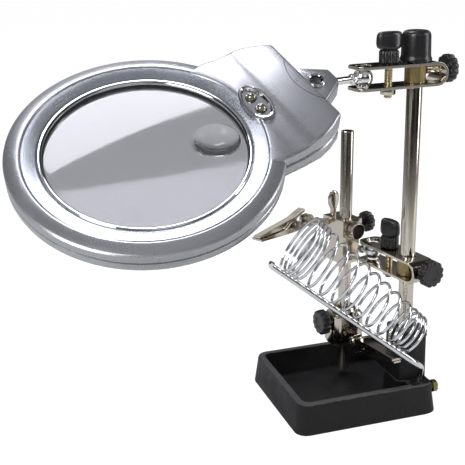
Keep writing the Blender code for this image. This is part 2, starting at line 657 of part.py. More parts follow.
def build_upper_block(ball, mats):
    frame, inside = block_place(ball)
    side = [(-BLOCK_HALF_WIDTH, BLOCK_BOTTOM), (4.9, BLOCK_BOTTOM), (4.9, BLOCK_STEP),
            (BLOCK_HALF_WIDTH, BLOCK_STEP), (BLOCK_HALF_WIDTH, BLOCK_TOP),
            (-BLOCK_HALF_WIDTH, BLOCK_TOP)]
    mesh = side_prism(side, -BLOCK_HALF_DEPTH, BLOCK_HALF_DEPTH)
    body = add_part("upper_block", placed(mesh, inside), frame, mats["nickel"], 20.0)
    to_local = frame.inverted()
    drill(body, SHORT_RADIUS + POST_CLEARANCE, to_local @ shift(SHORT_X, SHORT_Y, 0.0), 70.0, 110.0, 20)
    post = (inside.inverted() @ to_local) @ Vector((SHORT_X, SHORT_Y, 0.0))
    bore = SCREW_RADIUS + GAP

    knob_axis = inside @ shift(post.x, post.y, 95.0) @ Matrix.Rotation(pi / 2.0, 4, "Y")
    drill(body, bore, knob_axis, 1.0, 12.0, 12)
    knob_frame = frame @ knob_axis
    reach = BLOCK_HALF_WIDTH - post.x
    start = reach + 6.6
    mesh = skin([
        circle(SCREW_RADIUS, SHORT_RADIUS + GAP, 24),
        circle(SCREW_RADIUS, start, 24),
        fluted(5.2, start, depth=0.4),
        fluted(5.9, start + 0.7),
        fluted(5.9, start + 4.0),
        fluted(5.1, start + 4.6, depth=0.4),
    ])
    add_part("block_knob", mesh, knob_frame, mats["black_plastic"], 50.0)

    near_axis = inside @ shift(post.x, post.y, 94.4) @ Matrix.Rotation(pi / 2.0, 4, "X")
    drill(body, bore, near_axis, 1.0, 12.0, 12)
    near = BLOCK_HALF_DEPTH + post.y
    mesh = turned([(0.0, SHORT_RADIUS + GAP), (1.9, SHORT_RADIUS + GAP), (1.9, near + GAP),
                   (4.3, near + GAP), (4.8, near + 0.8), (4.8, near + 4.4), (4.3, near + 4.9),
                   (0.0, near + 4.9)], 20)
    add_part("knurled_screw", mesh, frame @ near_axis, mats["nickel"], 30.0)

    thumb_axis = inside @ shift(-2.1, 5.6, 0.0)
    drill(body, 2.0, thumb_axis, 95.0, 104.0, 12)
    mesh = skin([circle(1.7, 98.4, 16), circle(1.7, 103.4, 16), oval(3.3, 1.3, 106.0, 16),
                 oval(3.9, 1.2, 109.4, 16), oval(2.9, 1.1, 112.6, 16), oval(1.2, 0.8, 114.0, 16)])
    add_part("thumb_screw", mesh, frame @ thumb_axis, mats["nickel"], 50.0)

    rod_frame, reach = clip_rod_place()
    drill(body, 1.8, to_local @ rod_frame @ Matrix.Rotation(pi / 2.0, 4, "Y"), -reach - 5.6,
          -reach + 8.0, 12)
    stud = BLOCK_HEADING * -0.496 + Vector((-BLOCK_HEADING.y, BLOCK_HEADING.x, 0.0)) * 0.868
    stud_frame = aimed(ball, stud)
    drill(body, 2.1, to_local @ stud_frame @ Matrix.Rotation(pi / 2.0, 4, "Y"), 12.0, 20.6, 12)
    build_stud("middle_stud", stud_frame, 20.2, mats)


def clip_rod_place():
    """The upper clip's rod: its frame at the eye beside the clip, and its visible length."""
    clip = aimed(UPPER_CLIP_PIVOT, UPPER_CLIP_TIP - UPPER_CLIP_PIVOT)
    eye = clip @ Vector((0.0, 2.2, 0.0))
    entry = BLOCK_CENTRE + BLOCK_HEADING * -BLOCK_HALF_WIDTH
    entry += Vector((-BLOCK_HEADING.y, BLOCK_HEADING.x, 0.0)) * 4.5
    entry.z = 97.0
    return aimed(eye, eye - entry), (eye - entry).length


# ---------------------------------------------------------------- spring clips

def eye_outline(tail, half_tail, radius=3.4):
    """A round eye with a strap running back along -X, as (x, z) points."""
    start = pi - atan2(half_tail, sqrt(radius ** 2 - half_tail ** 2))
    points = [(-tail, half_tail), (-tail, -half_tail)]
    for step in range(13):
        angle = -start + 2.0 * start * step / 12.0
        points.append((radius * cos(angle), radius * sin(angle)))
    return points


def strap_outline():
    """The clip's own eye, with a strap running forward into its lower jaw."""
    start = atan2(1.2, sqrt(3.4 ** 2 - 1.2 ** 2))
    points = [(6.5, -1.9), (6.5, 0.0)]
    for step in range(13):
        angle = start + 2.0 * (pi - start) * step / 12.0
        points.append((3.4 * cos(angle), 3.4 * sin(angle)))
    return points


def build_clip_rod(mats):
    frame, reach = clip_rod_place()
    mesh = placed(rod(1.5, -reach - 5.2, -4.2, 14), Matrix.Rotation(pi / 2.0, 4, "Y"))
    arm = add_part("clip_rod", mesh, frame, mats["nickel"])
    combine(arm, side_prism(eye_outline(8.0, 1.2), -0.95, 0.95), "UNION")
    drill(arm, 1.45, Matrix.Rotation(-pi / 2.0, 4, "X"), -4.0, 4.0, 12)


def build_pivot_screw(name, frame, mats):
    mesh = turned([(0.0, -2.8), (2.2, -2.8), (2.7, -2.2), (2.7, -1.15), (1.15, -1.15), (1.15, 3.0),
                   (0.0, 3.0)], 16)
    screw = add_part(name, mesh, frame @ Matrix.Rotation(-pi / 2.0, 4, "X"), mats["nickel"])
    combine(screw, block(0.8, 7.0, 1.6, (0.0, 0.0, -2.8)))


def build_clip(prefix, frame, mats):
    """A spring clip: its frame sits at the eye, X to the tips, Y along the pins."""
    lower = [(5.0, -2.6), (9.0, -3.4), (20.0, -3.0), (34.0, -2.0), (41.0, -1.5), (CLIP_LENGTH, -1.2),
             (CLIP_LENGTH, -0.2), (24.0, -0.2), (20.0, 0.6), (17.5, 2.2), (CLIP_PIN, 2.8),
             (10.5, 2.2), (8.0, 0.2), (5.0, 0.2)]
    jaw = add_part(f"{prefix}_lower_jaw", side_prism(lower, -3.2, 3.2), frame, mats["nickel"], 30.0)
    combine(jaw, side_prism([(8.0, -2.2), (26.0, -2.2), (26.0, 5.0), (8.0, 5.0)], -2.45, 2.45))
    combine(jaw, side_prism(strap_outline(), -0.8, 0.8), "UNION")
    pin_axis = shift(CLIP_PIN, 0.0, 0.9) @ Matrix.Rotation(-pi / 2.0, 4, "X")
    drill(jaw, 1.05, pin_axis, -6.0, 6.0, 10)
    drill(jaw, 1.45, Matrix.Rotation(-pi / 2.0, 4, "X"), -2.0, 2.0, 12)
    add_part(f"{prefix}_jaw_pin", rod(0.75, -3.4, 3.4, 10), frame @ pin_axis, mats["nickel"])
    coil = turned([(1.05, -0.9), (1.65, -0.9), (1.65, 0.9), (1.05, 0.9)], 12, closed=True)
    add_part(f"{prefix}_spring", coil, frame @ pin_axis, mats["nickel"])

    upper = [(3.0, 6.2), (3.6, 5.6), (10.0, 3.6), (12.2, -1.4), (20.0, -0.9), (26.5, 0.25),
             (CLIP_LENGTH, 0.25), (CLIP_LENGTH, 1.2), (34.0, 2.2), (22.0, 3.4), (CLIP_PIN, 4.4),
             (9.0, 6.0), (3.6, 7.4)]
    moving = [(x - CLIP_PIN, z - 0.9) for x, z in upper]
    top = add_part(f"{prefix}_upper_jaw", side_prism(moving, -2.1, 2.1),
                   frame @ shift(CLIP_PIN, 0.0, 0.9), mats["nickel"], 30.0)
    combine(top, block(5.4, 2.4, 5.0, (0.0, 0.0, 0.0)))
    drill(top, 1.05, Matrix.Rotation(-pi / 2.0, 4, "X"), -6.0, 6.0, 10)


def build_clips(mats):
    upper = aimed(UPPER_CLIP_PIVOT, UPPER_CLIP_TIP - UPPER_CLIP_PIVOT)
    build_clip("upper_clip", upper, mats)
    build_pivot_screw("upper_clip_screw", upper, mats)
    lower = aimed(LOWER_CLIP_PIVOT, LOWER_CLIP_TIP - LOWER_CLIP_PIVOT)
    build_clip("lower_clip", lower @ Matrix.Rotation(pi, 4, "X"), mats)
    build_pivot_screw("lower_clip_screw", lower, mats)


# ---------------------------------------------------------------- clamp on the short post's foot

def build_lower_clamp(mats):
    frame = frame_at((SHORT_X, SHORT_Y, 0.0), CLAMP_HEADING, (0, 0, 1))
    mesh = skin([rounded_box(8.8, 6.2, 3.4, CLAMP_BOTTOM, 3), rounded_box(10.0, 7.2, 4.0, 27.0, 3),
                 rounded_box(10.0, 7.2, 4.0, CLAMP_TOP - 1.4, 3),
                 rounded_box(8.8, 6.4, 3.4, CLAMP_TOP, 3)])
    body = add_part("lower_clamp_block", mesh, frame, mats["nickel"])
    to_local = frame.inverted()
    collar = turned([(0.0, 40.0), (7.4, 40.0), (7.4, 45.4), (6.4, 47.0), (0.0, 47.0)], 20)
    combine(body, collar, "UNION")
    clip = aimed(LOWER_CLIP_PIVOT, LOWER_CLIP_TIP - LOWER_CLIP_PIVOT)
    lug = side_prism(eye_outline(13.5, 3.0), 1.2, 3.4)
    combine(body, placed(lug, to_local @ clip), "UNION")
    drill(body, SLEEVE_RADIUS + GAP, Matrix.Identity(4), 20.0, 50.0, 20)
    drill(body, 1.45, to_local @ clip @ Matrix.Rotation(-pi / 2.0, 4, "X"), 0.5, 5.0, 12)
    across = shift(0.0, 0.0, 39.5) @ Matrix.Rotation(-pi / 2.0, 4, "Y")
    drill(body, SCREW_RADIUS + GAP, across, 3.0, 14.0, 12)
    build_sleeve("lower_post_sleeve", SHORT_RADIUS + GAP, SHORT_X, SHORT_Y, CLAMP_BOTTOM + 0.6,
                 46.4, SLEEVE_RADIUS, mats)
    build_knob("lower_clamp_knob", frame @ across, 12.0, mats)
    build_clamp_screw("lower_clamp_screw", frame @ across, SLEEVE_RADIUS + GAP, 10.0, 12.0, mats)


# ---------------------------------------------------------------- iron holder

def wire(name, points, radius, sides, origin, material):
    """A round wire through points, as a filled curve whose origin is at origin."""
    curve = bpy.data.curves.new(name, "CURVE")
    curve.dimensions = "3D"
    curve.bevel_depth = radius * MM
    curve.bevel_resolution = sides
    curve.use_fill_caps = True
    spline = curve.splines.new("POLY")
    spline.points.add(len(points) - 1)
    for spot, point in zip(spline.points, points):
        place = (Vector(point) - Vector(origin)) * MM
        spot.co = (*place, 1.0)
    part = bpy.data.objects.new(name, curve)
    part.location = Vector(origin) * MM
    bpy.context.scene.collection.objects.link(part)
    curve.materials.append(material)


def coil_travel(turn):
    """How far down the rod a turn lies: close at both ends, open between them."""
    if turn < 4.0:
        return 2.5 * turn
    if turn < 12.0:
        return 10.0 + 7.5 * (turn - 4.0)
    return 70.0 + 3.15 * (turn - 12.0)


def build_holder(mats):
    along = ROD_ALONG.normalized()
    level = Vector((-along.y, along.x, 0.0)).normalized() * -1.0
    rise = along.cross(level).normalized()
    rise = rise if rise.z > 0.0 else -rise
    foot = Vector((FOOT_X, FOOT_Y, 7.0))
    knee = Vector((FOOT_X, FOOT_Y, RIM_HEIGHT + 2.0))
    lift = Vector((FOOT_X, FOOT_Y - 1.0, RIM_HEIGHT + 10.0))
    lead = ROD_START - along * 12.0
    points = [foot]
    for step in range(13):
        t = step / 12.0
        points.append(knee * (1 - t) ** 3 + lift * 3 * t * (1 - t) ** 2
                      + lead * 3 * t * t * (1 - t) + ROD_START * t ** 3)
    top = ROD_START + along * ROD_LENGTH
    points += [ROD_START + along * ROD_LENGTH * 0.5, top]
    points += [top + along * 1.3 + rise * 0.5, top + along * 1.7 + rise * 1.9]
    origin = (FOOT_X, FOOT_Y, 0.0)
    wire("holder_rod", points, ROD_RADIUS, 3, origin, mats["chrome"])

    turns = 15
    per_turn = 10
    wide = COIL_WIDE - COIL_WIRE
    narrow = COIL_NARROW - COIL_WIRE
    stand = ROD_RADIUS + GAP + COIL_WIRE
    coil = []
    for step in range(turns * per_turn + 1):
        turn = step / per_turn
        travel = coil_travel(turn)
        radius = wide + (narrow - wide) * travel / coil_travel(turns)
        angle = 2.0 * pi * turn
        centre = top - along * (3.0 + travel) + rise * (stand + radius)
        coil.append(centre + (level * sin(angle) - rise * cos(angle)) * radius)
    wire("iron_coil", coil, COIL_WIRE, 1, origin, mats["chrome"])


# ---------------------------------------------------------------- the whole stand

def clear_scene():
    for item in list(bpy.data.objects):
        bpy.data.objects.remove(item, do_unlink=True)


def main():
    clear_scene()
    mats = make_finishes()
    build_tray(mats)
    build_set_screw("post_set_screw", POST_X, POST_Y, 40.5, 4.4, 9.9, mats)
    build_set_screw("holder_set_screw", FOOT_X, FOOT_Y, 12.7, 2.0, 7.6, mats)
    build_posts(mats)
    build_clamp_set("upper", UPPER_HEADING, UPPER_LEVEL, mats)
    build_clamp_set("middle", MIDDLE_HEADING, MIDDLE_LEVEL, mats)
    post = Vector((POST_X, POST_Y, 0.0))
    upper_ball = post - UPPER_HEADING.normalized() * BALL_REACH + Vector((0, 0, UPPER_LEVEL))
    middle_ball = post - MIDDLE_HEADING.normalized() * BALL_REACH + Vector((0, 0, MIDDLE_LEVEL))
    build_magnifier(upper_ball, mats)
    build_upper_block(middle_ball, mats)
    build_clip_rod(mats)
    build_clips(mats)
    build_lower_clamp(mats)
    build_holder(mats)


main()
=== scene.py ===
"""Finishes for the soldering-iron stand: its plated, cast, moulded and painted surfaces.

Lengths are in millimetres until a piece is finished, and every piece is left in its place in
the stand's own frame: origin at the centre of the tray's underside, +Y back, +Z up.
"""

import json
from math import atan2, cos, pi, radians, sin

import bmesh
import bpy
from mathutils import Matrix, Vector


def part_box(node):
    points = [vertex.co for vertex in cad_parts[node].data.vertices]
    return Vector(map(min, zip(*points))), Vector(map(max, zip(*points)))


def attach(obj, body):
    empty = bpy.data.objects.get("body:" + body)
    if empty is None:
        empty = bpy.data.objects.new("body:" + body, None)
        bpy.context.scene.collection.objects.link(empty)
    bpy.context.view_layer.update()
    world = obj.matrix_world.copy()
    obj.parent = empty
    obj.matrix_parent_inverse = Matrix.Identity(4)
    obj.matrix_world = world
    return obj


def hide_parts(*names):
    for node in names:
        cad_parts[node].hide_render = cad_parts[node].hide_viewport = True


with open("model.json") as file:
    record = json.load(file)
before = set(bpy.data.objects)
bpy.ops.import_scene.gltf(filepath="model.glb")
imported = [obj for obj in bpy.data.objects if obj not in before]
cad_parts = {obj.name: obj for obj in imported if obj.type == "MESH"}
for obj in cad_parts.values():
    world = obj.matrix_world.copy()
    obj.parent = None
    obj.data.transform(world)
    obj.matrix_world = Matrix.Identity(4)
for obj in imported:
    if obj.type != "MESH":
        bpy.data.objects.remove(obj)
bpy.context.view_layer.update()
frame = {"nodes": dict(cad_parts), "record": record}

MM = 0.001
GAP = 0.3
UP = Vector((0.0, 0.0, 1.0))

POST = Vector((29.0, -17.5, 0.0))
SHORT = Vector((8.9, 17.7, 0.0))
UPPER_LEVEL = 183.0
MIDDLE_LEVEL = 80.5
UPPER_HEADING = Vector((0.9973, 0.0730, 0.0)).normalized()
MIDDLE_HEADING = Vector((0.1800, -0.9837, 0.0)).normalized()
BALL_REACH = 30.0
WING_REACH = 15.5
BALL_RADIUS = 5.0
SCREW_RADIUS = 2.0
SCREW_RISE = 1.5
HEAD_ALONG = Vector((0.9558, 0.1796, 0.2328))
HEAD_UP = Vector((-0.1129, -0.5070, 0.8545))
LENS_REACH = 119.9
LENS_RISE = 8.0
HANDLE_SLOPE = 0.118
SLOPE_START = 45.0
SLOPE_FOOT = 2.4
SCOOP_DEPTH = 1.25
SEAM = -3.0
LIGHT_ALONG = 56.6
LIGHT_SIDE = -0.5
LAMP_SPACING = 8.5
SWITCH_ALONG = 90.5
CASE_SCREW_CIRCLE = 55.0
CASE_SCREW_ANGLES = (120.0, 240.0)
INSET_LENS = (31.8, -6.5)
STUD_TILT = 15.0
UPPER_STUD_END = 24.0
MIDDLE_STUD_END = 20.2
FOOT = Vector((33.0, -29.0, 0.0))
ROD_START = Vector((18.9, -41.0, 38.2))
ROD_ALONG = Vector((-0.765, 0.251, 0.593)).normalized()
ROD_LENGTH = 87.6
ROD_RADIUS = 1.6
COIL_TURNS = 15
COIL_STEPS = 40
COIL_WIRE = 0.78
COIL_WIDE = 15.47
COIL_NARROW = 9.82
COIL_STAND = 2.68
CLAMP_HEADING = Vector((0.990, 0.130, 0.0)).normalized()
BLOCK_HEADING = Vector((0.970, 0.243, 0.0)).normalized()
BLOCK_CENTRE = (7.9, 20.1, 0.0)
BLOCK_HALF_WIDTH = 6.5
BLOCK_HALF_DEPTH = 9.0

CAMERA_PLACE = (-0.2003, -0.4312, 0.2492)
CAMERA_YAW = 0.3078
CAMERA_PITCH = 0.3093
CAMERA_ROLL = 0.0188
CAMERA_LENS = 71.2
CAMERA_SENSOR = 36.0


# ---------------------------------------------------------------- places

def place_at(origin, x_axis, z_axis):
    """A place at origin with its Z along z_axis and its X as near x_axis as it can be."""
    z_dir = Vector(z_axis).normalized()
    y_dir = z_dir.cross(Vector(x_axis)).normalized()
    x_dir = y_dir.cross(z_dir)
    place = Matrix((x_dir, y_dir, z_dir)).transposed().to_4x4()
    place.translation = Vector(origin)
    return place


def along(origin, direction):
    """A place whose X runs along direction and whose Y lies level."""
    level = UP.cross(direction)
    return place_at(origin, direction, Vector(direction).cross(level))


def shift(x, y, z):
    return Matrix.Translation(Vector((x, y, z)))


UPPER_BALL = POST - UPPER_HEADING * BALL_REACH + UP * UPPER_LEVEL
MIDDLE_BALL = POST - MIDDLE_HEADING * BALL_REACH + UP * MIDDLE_LEVEL
HEAD = place_at(UPPER_BALL, HEAD_ALONG, HEAD_UP)
LENS = HEAD @ shift(-LENS_REACH, 0.0, LENS_RISE)
BEZEL_LIFT = SLOPE_FOOT + (LIGHT_ALONG - SLOPE_START) * HANDLE_SLOPE
BEZEL = (LENS @ shift(LIGHT_ALONG, LIGHT_SIDE, BEZEL_LIFT)
         @ Matrix.Rotation(-atan2(HANDLE_SLOPE, 1.0), 4, "Y"))


# ---------------------------------------------------------------- finishes

def socket(group, name, kind, direction, value=None):
    made = group.interface.new_socket(name, in_out=direction, socket_type=kind)
    if value is not None:
        made.default_value = value
    return made


def make_finish_group():
    """Patches of two tones, an uneven sheen and a fine grain, all on the piece itself."""
    group = bpy.data.node_groups.new("uneven_finish", "ShaderNodeTree")
    socket(group, "Tone", "NodeSocketColor", "INPUT")
    socket(group, "Second Tone", "NodeSocketColor", "INPUT")
    socket(group, "Patch Scale", "NodeSocketFloat", "INPUT", 60.0)
    socket(group, "Sheen Low", "NodeSocketFloat", "INPUT", 0.1)
    socket(group, "Sheen High", "NodeSocketFloat", "INPUT", 0.3)
    socket(group, "Grain Scale", "NodeSocketFloat", "INPUT", 900.0)
    socket(group, "Colour", "NodeSocketColor", "OUTPUT")
    socket(group, "Roughness", "NodeSocketFloat", "OUTPUT")
    socket(group, "Height", "NodeSocketFloat", "OUTPUT")
    nodes, links = group.nodes, group.links
    into = nodes.new("NodeGroupInput")
    out = nodes.new("NodeGroupOutput")
    where = nodes.new("ShaderNodeTexCoord")
    patches = nodes.new("ShaderNodeTexNoise")
    patches.inputs["Detail"].default_value = 5.0
    links.new(where.outputs["Object"], patches.inputs["Vector"])
    links.new(into.outputs["Patch Scale"], patches.inputs["Scale"])
    mix = nodes.new("ShaderNodeMix")
    mix.data_type = "RGBA"
    links.new(patches.outputs["Fac"], mix.inputs["Factor"])
    links.new(into.outputs["Tone"], mix.inputs["A"])
    links.new(into.outputs["Second Tone"], mix.inputs["B"])
    links.new(mix.outputs["Result"], out.inputs["Colour"])
    grain = nodes.new("ShaderNodeTexNoise")
    grain.inputs["Detail"].default_value = 3.0
    links.new(where.outputs["Object"], grain.inputs["Vector"])
    links.new(into.outputs["Grain Scale"], grain.inputs["Scale"])
    links.new(grain.outputs["Fac"], out.inputs["Height"])
    blend = nodes.new("ShaderNodeMath")
    blend.operation = "MULTIPLY_ADD"
    links.new(grain.outputs["Fac"], blend.inputs[0])
    blend.inputs[1].default_value = 0.3
    links.new(patches.outputs["Fac"], blend.inputs[2])
    sheen = nodes.new("ShaderNodeMapRange")
    sheen.inputs["From Min"].default_value = 0.4
    sheen.inputs["From Max"].default_value = 0.9
    links.new(blend.outputs[0], sheen.inputs["Value"])
    links.new(into.outputs["Sheen Low"], sheen.inputs["To Min"])
    links.new(into.outputs["Sheen High"], sheen.inputs["To Max"])
    links.new(sheen.outputs["Result"], out.inputs["Roughness"])
    return group


def make_edge_highlight_group():
    """A mask for a painted highlight: a thin level band at a given height, broken up by noise."""
    group = bpy.data.node_groups.new("painted_edge_highlight", "ShaderNodeTree")
    socket(group, "Height", "NodeSocketFloat", "INPUT", 0.0)
    socket(group, "Width", "NodeSocketFloat", "INPUT", 0.001)
    socket(group, "Mask", "NodeSocketFloat", "OUTPUT")
    nodes, links = group.nodes, group.links
    into = nodes.new("NodeGroupInput")
    out = nodes.new("NodeGroupOutput")
    where = nodes.new("ShaderNodeTexCoord")
    split = nodes.new("ShaderNodeSeparateXYZ")
    links.new(where.outputs["Object"], split.inputs[0])
    off = nodes.new("ShaderNodeMath")
    off.operation = "SUBTRACT"
    links.new(split.outputs["Z"], off.inputs[0])
    links.new(into.outputs["Height"], off.inputs[1])
    size = nodes.new("ShaderNodeMath")
    size.operation = "ABSOLUTE"
    links.new(off.outputs[0], size.inputs[0])
    share = nodes.new("ShaderNodeMath")
    share.operation = "DIVIDE"
    links.new(size.outputs[0], share.inputs[0])
    links.new(into.outputs["Width"], share.inputs[1])
    noise = nodes.new("ShaderNodeTexNoise")
    noise.inputs["Scale"].default_value = 260.0
    noise.inputs["Detail"].default_value = 6.0
    links.new(where.outputs["Object"], noise.inputs["Vector"])
    left = nodes.new("ShaderNodeMath")
    left.operation = "SUBTRACT"
    links.new(noise.outputs["Fac"], left.inputs[0])
    links.new(share.outputs[0], left.inputs[1])
    ramp = nodes.new("ShaderNodeMapRange")
    ramp.inputs["From Min"].default_value = -0.05
    ramp.inputs["From Max"].default_value = 0.25
    links.new(left.outputs[0], ramp.inputs["Value"])
    links.new(ramp.outputs["Result"], out.inputs["Mask"])
    return group


UNEVEN = make_finish_group()
EDGE_HIGHLIGHT = make_edge_highlight_group()


def finish(name, tone, second, sheen, patch, grain, depth, metallic=0.0, coat=0.0):
    """One finish: two tones, a sheen range, the size of its patches and its grain."""
    material = bpy.data.materials.new(name)
    material.use_nodes = True
    nodes, links = material.node_tree.nodes, material.node_tree.links
    shader = nodes["Principled BSDF"]
    surface = nodes.new("ShaderNodeGroup")
    surface.node_tree = UNEVEN
    surface.inputs["Tone"].default_value = (*tone, 1.0)
    surface.inputs["Second Tone"].default_value = (*second, 1.0)
    surface.inputs["Patch Scale"].default_value = patch
    surface.inputs["Sheen Low"].default_value = sheen[0]
    surface.inputs["Sheen High"].default_value = sheen[1]
    surface.inputs["Grain Scale"].default_value = grain
    links.new(surface.outputs["Colour"], shader.inputs["Base Color"])
    links.new(surface.outputs["Roughness"], shader.inputs["Roughness"])
    bump = nodes.new("ShaderNodeBump")
    bump.inputs["Strength"].default_value = depth
    bump.inputs["Distance"].default_value = 0.0002
    links.new(surface.outputs["Height"], bump.inputs["Height"])
    links.new(bump.outputs["Normal"], shader.inputs["Normal"])
    shader.inputs["Metallic"].default_value = metallic
    shader.inputs["Coat Weight"].default_value = coat
    shader.inputs["Coat Roughness"].default_value = 0.12
    return material


def make_cast_iron():
    """Black casting, with a painted highlight: a lighter grey band along its rim and the top of its
    boss.
    """
    material = finish("black_cast_iron", (0.004, 0.004, 0.0045), (0.013, 0.013, 0.014),
                      (0.42, 0.66), 90.0, 620.0, 1.0)
    nodes, links = material.node_tree.nodes, material.node_tree.links
    shader = nodes["Principled BSDF"]
    shader.inputs["Specular IOR Level"].default_value = 0.35
    base = shader.inputs["Base Color"].links[0].from_socket
    # Painted highlight: a lighter grey band at the rim's height and at the height of the boss's top.
    for height, width in ((0.0172, 0.0009), (0.0460, 0.0008)):
        highlight_band = nodes.new("ShaderNodeGroup")
        highlight_band.node_tree = EDGE_HIGHLIGHT
        highlight_band.inputs["Height"].default_value = height
        highlight_band.inputs["Width"].default_value = width
        mix = nodes.new("ShaderNodeMix")
        mix.data_type = "RGBA"
        mix.inputs["B"].default_value = (0.085, 0.085, 0.085, 1.0)
        links.new(highlight_band.outputs["Mask"], mix.inputs["Factor"])
        links.new(base, mix.inputs["A"])
        base = mix.outputs["Result"]
    links.new(base, shader.inputs["Base Color"])
    return material


def make_lens_finish():
    """Clear acrylic with a faint grey cast and soft handling marks."""
    material = bpy.data.materials.new("lens_acrylic")
    material.use_nodes = True
    nodes, links = material.node_tree.nodes, material.node_tree.links
    shader = nodes["Principled BSDF"]
    shader.inputs["Transmission Weight"].default_value = 0.93
    shader.inputs["IOR"].default_value = 1.49
    marks = nodes.new("ShaderNodeGroup")
    marks.node_tree = UNEVEN
    marks.inputs["Tone"].default_value = (0.62, 0.63, 0.65, 1.0)
    marks.inputs["Second Tone"].default_value = (0.56, 0.57, 0.60, 1.0)
    marks.inputs["Patch Scale"].default_value = 22.0
    marks.inputs["Sheen Low"].default_value = 0.02
    marks.inputs["Sheen High"].default_value = 0.07
    marks.inputs["Grain Scale"].default_value = 300.0
    links.new(marks.outputs["Colour"], shader.inputs["Base Color"])
    links.new(marks.outputs["Roughness"], shader.inputs["Roughness"])
    return material


def make_spun_finish():
    """Bright rim turned on a lathe: fine rings about the lens axis."""
    material = finish("spun_bezel", (0.40, 0.42, 0.45), (0.34, 0.36, 0.39), (0.20, 0.32),
                      45.0, 700.0, 0.1, 0.85)
    nodes, links = material.node_tree.nodes, material.node_tree.links
    shader = nodes["Principled BSDF"]
    where = nodes.new("ShaderNodeTexCoord")
    centre = nodes.new("ShaderNodeMapping")
    centre.vector_type = "TEXTURE"
    centre.inputs["Location"].default_value = LENS.translation * MM
    centre.inputs["Rotation"].default_value = LENS.to_euler()
    links.new(where.outputs["Object"], centre.inputs["Vector"])
    flat = nodes.new("ShaderNodeVectorMath")
    flat.operation = "MULTIPLY"
    flat.inputs[1].default_value = (1.0, 1.0, 0.0)
    links.new(centre.outputs["Vector"], flat.inputs[0])
    radius = nodes.new("ShaderNodeVectorMath")
    radius.operation = "LENGTH"
    links.new(flat.outputs["Vector"], radius.inputs[0])
    rings = nodes.new("ShaderNodeTexNoise")
    rings.noise_dimensions = "1D"
    rings.inputs["Scale"].default_value = 2600.0
    links.new(radius.outputs["Value"], rings.inputs["W"])
    bump = shader.inputs["Normal"].links[0].from_node
    bump.inputs["Strength"].default_value = 0.22
    links.new(rings.outputs["Fac"], bump.inputs["Height"])
    return material


FINISH = {
    "iron": make_cast_iron(),
    "nickel": finish("nickel_plate", (0.66, 0.62, 0.54), (0.56, 0.51, 0.43), (0.07, 0.19),
                     55.0, 650.0, 0.05, 1.0),
    "chrome": finish("chrome_plate", (0.80, 0.81, 0.83), (0.72, 0.73, 0.75), (0.03, 0.10),
                     50.0, 500.0, 0.02, 1.0),
    "brass": finish("turned_brass", (0.38, 0.30, 0.14), (0.26, 0.20, 0.09), (0.26, 0.46),
                    160.0, 1400.0, 0.2, 1.0),
    "zinc": finish("yellow_zinc", (0.60, 0.50, 0.28), (0.46, 0.40, 0.25), (0.20, 0.36),
                   140.0, 900.0, 0.1, 1.0),
    "black": finish("black_moulding", (0.010, 0.010, 0.011), (0.017, 0.017, 0.019), (0.26, 0.40),
                    70.0, 1600.0, 0.18, 0.0, 0.12),
    "silver": finish("silver_paint", (0.42, 0.43, 0.45), (0.37, 0.38, 0.41), (0.22, 0.34),
                     40.0, 2600.0, 0.05, 0.7, 0.3),
    "rubber": finish("black_seal", (0.012, 0.012, 0.012), (0.02, 0.02, 0.02), (0.6, 0.8),
                     90.0, 900.0, 0.3),
    "led": finish("clear_epoxy", (0.36, 0.33, 0.24), (0.20, 0.19, 0.15), (0.04, 0.10),
                  420.0, 600.0, 0.02, 0.75, 0.5),
    "cell": finish("cell_sleeve", (0.06, 0.07, 0.10), (0.04, 0.05, 0.07), (0.24, 0.36),
                   120.0, 800.0, 0.05, 0.2),
    "spun": make_spun_finish(),
    "lens": make_lens_finish(),
}
SLOTS = {"iron": "cast_iron", "nickel": "nickel", "chrome": "chrome", "brass": "brass",
         "zinc": "zinc", "black": "black_plastic", "silver": "silver_paint",
         "rubber": "rubber", "led": "led", "cell": "cell", "spun": "chrome", "lens": "lens"}


# ---------------------------------------------------------------- shaping

def spun(profile, steps=96, closed=False):
    """Spin a profile of (radius, height) points about Z."""
    mesh = bmesh.new()
    verts = [mesh.verts.new((radius, 0.0, height)) for radius, height in profile]
    edges = [mesh.edges.new(pair) for pair in zip(verts, verts[1:])]
    if closed:
        edges.append(mesh.edges.new((verts[-1], verts[0])))
    bmesh.ops.spin(mesh, geom=verts + edges, axis=(0, 0, 1), cent=(0, 0, 0), angle=2.0 * pi,
                   steps=steps, use_merge=True)
    bmesh.ops.remove_doubles(mesh, verts=mesh.verts[:], dist=0.0005)
    return mesh


def lofted(sections, steps=64):
    """Extrude one ring up through (height, half x, half y) sections, capped at both ends."""
    mesh = bmesh.new()
    ring = bmesh.ops.create_circle(mesh, cap_ends=True, radius=1.0, segments=steps)["verts"]
    height, wide, deep = sections[0]
    bmesh.ops.scale(mesh, vec=(wide, deep, 1.0), verts=ring)
    bmesh.ops.translate(mesh, vec=(0.0, 0.0, height), verts=ring)
    edges = mesh.edges[:]
    for next_height, next_wide, next_deep in sections[1:]:
        grown = bmesh.ops.extrude_edge_only(mesh, edges=edges)["geom"]
        ring = [item for item in grown if isinstance(item, bmesh.types.BMVert)]
        edges = [item for item in grown if isinstance(item, bmesh.types.BMEdge)
                 and all(vert in ring for vert in item.verts)]
        bmesh.ops.scale(mesh, vec=(next_wide / wide, next_deep / deep, 1.0), verts=ring)
        bmesh.ops.translate(mesh, vec=(0.0, 0.0, next_height - height), verts=ring)
        height, wide, deep = next_height, next_wide, next_deep
    bmesh.ops.contextual_create(mesh, geom=edges)
    return mesh


def slab(points, low, high):
    """A flat outline of (x, y) points pulled up from one height to another."""
    mesh = bmesh.new()
    verts = [mesh.verts.new((x, y, low)) for x, y in points]
    bottom = mesh.faces.new(verts)
    grown = bmesh.ops.extrude_face_region(mesh, geom=[bottom])["geom"]
    top = [item for item in grown if isinstance(item, bmesh.types.BMVert)]
    bmesh.ops.translate(mesh, vec=(0.0, 0.0, high - low), verts=top)
    return mesh


